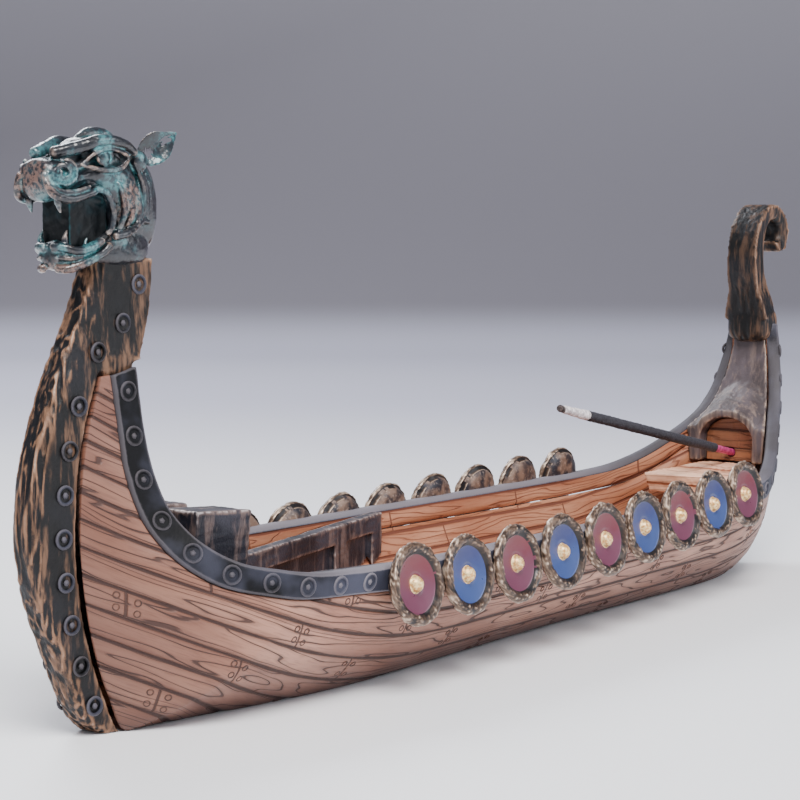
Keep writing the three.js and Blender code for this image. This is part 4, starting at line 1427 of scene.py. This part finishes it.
# %% Skull and upper jaw
def wax_skull():
    bm = smoothed(remeshed(cad_copy("dragon_head"), 0.35), 8)
    plug(bm, at(21.6, 0, 81.6), (6.3, 4.3, 3.2))
    ball(bm, at(5.9, 0, 92.6), (2.6, 4.2, 3.4))
    ball(bm, at(8.0, 0, 93.6), (4.2, 4.9, 3.2))
    bm = smoothed(remeshed(bm, 0.3), 4)
    carve(bm, lambda p, n: sum(hollow(p, n) for hollow in HOLLOWS))
    for side in SIDES.values():
        # Nostril: a volute that faces out and forward, on the corner of the muzzle.
        spiral(bm, side, (6.3, 4.5, 93.9), (-0.55, 0.83, 0.05), 2.15, 1.9, 0.5)
        rolls(bm, side, FACE_ROLLS)
        # Eyeball, and the lump behind it that the ear grows from.
        ball(bm, at(15.2, side * 4.75, 96.6), (1.25, 0.9, 1.15))
        ball(bm, at(23.6, side * 4.5, 96.2), (1.7, 1.3, 1.9))
    # Crest between the brows.
    crest = [at(13.4, 0, 99.4), at(16.6, 0, 100.5), at(20.0, 0, 100.3), at(23.6, 0, 98.6)]
    roll(bm, crest, (0.7, 1.3, 1.3, 0.7), 30)
    return bm


HEAD_VOXEL = 0.17


def wax_surface(p, _):
    return 0.07 * noise.noise(p * 0.9) + 0.04 * noise.noise(p * 2.4)


def cast(bm, name, materials, node, voxel=HEAD_VOXEL, rounding=2, relief_rounds=26):
    bm = smoothed(remeshed(bm, voxel), rounding)
    carve(bm, wax_surface)
    piece = finish_piece(bm, name, materials, stands_for=[node])
    store_relief(piece.data, relief_rounds)
    print(name, len(piece.data.polygons), "faces")
    return piece


cast(wax_skull(), "skull_and_upper_jaw", [VERDIGRIS], "dragon_head")

# %% [markdown]
# The jaw is its own piece, as the solid's is. The mouth's web and tongue fill the gape between the two, and
# the ears are cupped leaves.

# %% Lower jaw
JAW_ROLLS = [
    # The lip of the jaw rises into the rim behind the mouth.
    (((7.2, 0.4, 82.0), (7.4, 2.6, 82.0), (9.4, 4.2, 81.4), (12.4, 4.8, 82.0), (14.8, 5.0, 83.3)),
     (0.7, 0.7, 0.72, 0.72, 0.66), 44),
    # Jaw line, from the chin to the hinge.
    (((7.0, 1.2, 78.5), (8.6, 3.2, 78.5), (11.6, 4.4, 79.6), (14.2, 4.9, 80.8), (16.4, 5.1, 82.4)),
     (0.7, 0.8, 0.75, 0.75, 0.8), 40),
    # Beard curl under the lip, and the two fangs.
    (((6.9, 1.6, 80.4), (8.4, 3.6, 80.1), (10.8, 4.4, 80.5)), (0.35, 0.45, 0.3), 22),
    (((8.2, 2.7, 82.0), (8.0, 2.8, 83.4), (8.6, 2.8, 84.9)), (0.75, 0.5, 0.12), 18),
    (((11.2, 4.0, 81.8), (11.4, 4.1, 82.8), (11.8, 4.1, 83.6)), (0.45, 0.32, 0.1), 12),
]
jaw = smoothed(remeshed(cad_copy("dragon_lower_jaw"), 0.3), 6)
for side in SIDES.values():
    rolls(jaw, side, JAW_ROLLS)
cast(jaw, "lower_jaw", [VERDIGRIS], "dragon_lower_jaw")

# %% Mouth and tongue
mouth = bmesh.new()
plate = bmesh.ops.create_cube(mouth, size=1.0)["verts"]
squash = Matrix.Translation(at(13.0, 0, 86.2)) @ Matrix.Diagonal((8.6, 6.4, 9.6, 1))
bmesh.ops.transform(mouth, matrix=squash, verts=plate)  # the dark web behind the tongue
tongue = [at(9.4, 0, 85.2), at(11.5, 0, 86.0), at(14.2, 0, 86.5), at(17.2, 0, 87.4)]
roll(mouth, tongue, (0.5, 1.2, 1.8, 2.2), 26)
for side in SIDES.values():
    rolls(mouth, side, [(((9.6, 0.9, 89.6), (12.5, 2.4, 90.0), (16.4, 3.4, 89.4)), (0.5, 0.9, 1.0), 18)])
cast(mouth, "mouth_and_tongue", [MOUTH], "dragon_tongue", 0.2, 6)

# %% Ears
def wax_ear(side):
    """A pointed leaf whose open face is cupped, standing out, aft and up from the skull."""
    bm = bmesh.new()
    leaf = bmesh.ops.create_uvsphere(bm, u_segments=40, v_segments=28, radius=1.0)["verts"]
    for v in leaf:
        x, y, z = v.co
        point = max(0.0, x) ** 2
        width = 2.7 * (1 - 0.72 * point)
        cup = 0.95 * (1 - x * x - y * y) if z > 0 else 0
        v.co = (3.9 * x + 0.4 * point, width * y, 0.85 * z * (1 - 0.5 * abs(x)) - 1.5 * max(cup, 0))
    base = Vector(at(26.2, side * 6.3, 98.5))
    along = Vector((0.66, side * 0.44, 0.6)).normalized()
    facing = Vector((-0.62, side * 0.76, -0.12))
    facing = (facing - along * facing.dot(along)).normalized()
    across = facing.cross(along)
    place = Matrix.Translation(base) @ Matrix((along, across, facing)).transposed().to_4x4()
    bmesh.ops.transform(bm, matrix=place, verts=leaf)
    bmesh.ops.recalc_face_normals(bm, faces=bm.faces)
    return bm


for side_name, side in SIDES.items():
    ear_name = f"{side_name}_leaf_ear"
    cast(wax_ear(side), ear_name, [VERDIGRIS], f"{side_name}_ear", 0.16, 1, 14)

# %% [markdown]
# ## Studio
# A pale floor that curves up into a grey backdrop, one large soft light overhead and in front, and a
# weaker one behind for the edges. The camera is low, ahead of the port bow.

# %% Floor and backdrop
CAMERA_TURN = -53.2
CAMERA_RISE = 4.8
CAMERA_AT = (-0.3706, -0.2550, 0.0863)
SWEEP_FROM, SWEEP_TO = -3.0, 0.9  # the flat floor's near and far edges, in metres along the view
SWEEP_RADIUS = 0.5
SWEEP_HEIGHT = 3.0
SWEEP_HALF_WIDTH = 4.0


def floor_finish():
    f = Finish("studio_floor")
    where, (x, y, z) = f.place(1.0)
    # Painted light: the floor is pale near the ship and darker away from the camera, and the backdrop is
    # darker low down than high up, as the light falls off.
    away = x * math.sin(math.radians(-CAMERA_TURN)) + y * math.cos(math.radians(CAMERA_TURN))
    paint = f.mix(away.ramp(0.05, 0.6), (0.94, 0.95, 0.98, 1), (0.50, 0.50, 0.60, 1))
    wall = f.mix(z.ramp(0.05, 0.5), (0.22, 0.21, 0.24, 1), (0.37, 0.36, 0.40, 1))
    paint = f.mix(z.ramp(0.002, 0.03), paint, wall)
    return f.set(Base_Color=paint, Roughness=0.55)


def backdrop():
    bm = bmesh.new()
    profile = [(SWEEP_FROM, 0.0), (SWEEP_TO, 0.0)]
    for a in np.linspace(0.1, math.pi / 2, 14):
        profile.append((SWEEP_TO + SWEEP_RADIUS * math.sin(a), SWEEP_RADIUS * (1 - math.cos(a))))
    profile.append((SWEEP_TO + SWEEP_RADIUS, SWEEP_HEIGHT))
    rows = [bm.verts.new((-SWEEP_HALF_WIDTH, y, z)) for y, z in profile]
    edges = [bm.edges.new(pair) for pair in zip(rows, rows[1:])]
    made = bmesh.ops.extrude_edge_only(bm, edges=edges)
    moved = [g for g in made["geom"] if isinstance(g, bmesh.types.BMVert)]
    bmesh.ops.translate(bm, verts=moved, vec=(2 * SWEEP_HALF_WIDTH, 0, 0))
    bmesh.ops.recalc_face_normals(bm, faces=bm.faces)
    turn = Matrix.Rotation(math.radians(CAMERA_TURN), 4, "Z")
    bmesh.ops.transform(bm, matrix=turn, verts=bm.verts)
    mesh = bpy.data.meshes.new("studio_sweep")
    bm.to_mesh(mesh)
    bm.free()
    sweep = bpy.data.objects.new("studio_sweep", mesh)
    bpy.context.scene.collection.objects.link(sweep)
    mesh.materials.append(floor_finish())
    mesh.polygons.foreach_set("use_smooth", [True] * len(mesh.polygons))


backdrop()
print("studio sweep", 2 * SWEEP_HALF_WIDTH, "m wide")


# %% Lights and camera
def softbox(name, place, aim, size, power, tint=(1, 1, 1)):
    lamp = bpy.data.lights.new(name, "AREA")
    lamp.size = size
    lamp.energy = power
    lamp.color = tint
    holder = bpy.data.objects.new(name, lamp)
    holder.location = place
    direction = Vector(aim) - Vector(place)
    holder.rotation_euler = direction.to_track_quat("-Z", "Y").to_euler()
    bpy.context.scene.collection.objects.link(holder)


softbox("key", (-0.45, -0.45, 0.85), (0, 0, 0.03), 0.5, 17.0, (1.0, 0.98, 0.96))
softbox("fill", (0.35, -0.8, 0.45), (0, 0, 0.03), 0.6, 4.0, (0.94, 0.96, 1.0))
softbox("rim", (0.3, 0.75, 0.7), (0, 0, 0.05), 0.5, 9.0, (0.92, 0.95, 1.0))

world = bpy.data.worlds.new("studio")
bpy.context.scene.world = world
world.use_nodes = True
sky = world.node_tree.nodes["Background"]
sky.inputs["Color"].default_value = (0.80, 0.83, 0.92, 1)
sky.inputs["Strength"].default_value = 0.55

camera_data = bpy.data.cameras.new("camera")
camera_data.sensor_width = 36
camera_data.lens = 96.2
camera_data.clip_start = 0.01
camera = bpy.data.objects.new("camera", camera_data)
camera.location = CAMERA_AT
camera.rotation_euler = (math.radians(90 - CAMERA_RISE), 0, math.radians(CAMERA_TURN))
bpy.context.scene.collection.objects.link(camera)
bpy.context.scene.camera = camera
print("camera", CAMERA_RISE, "degrees above level")
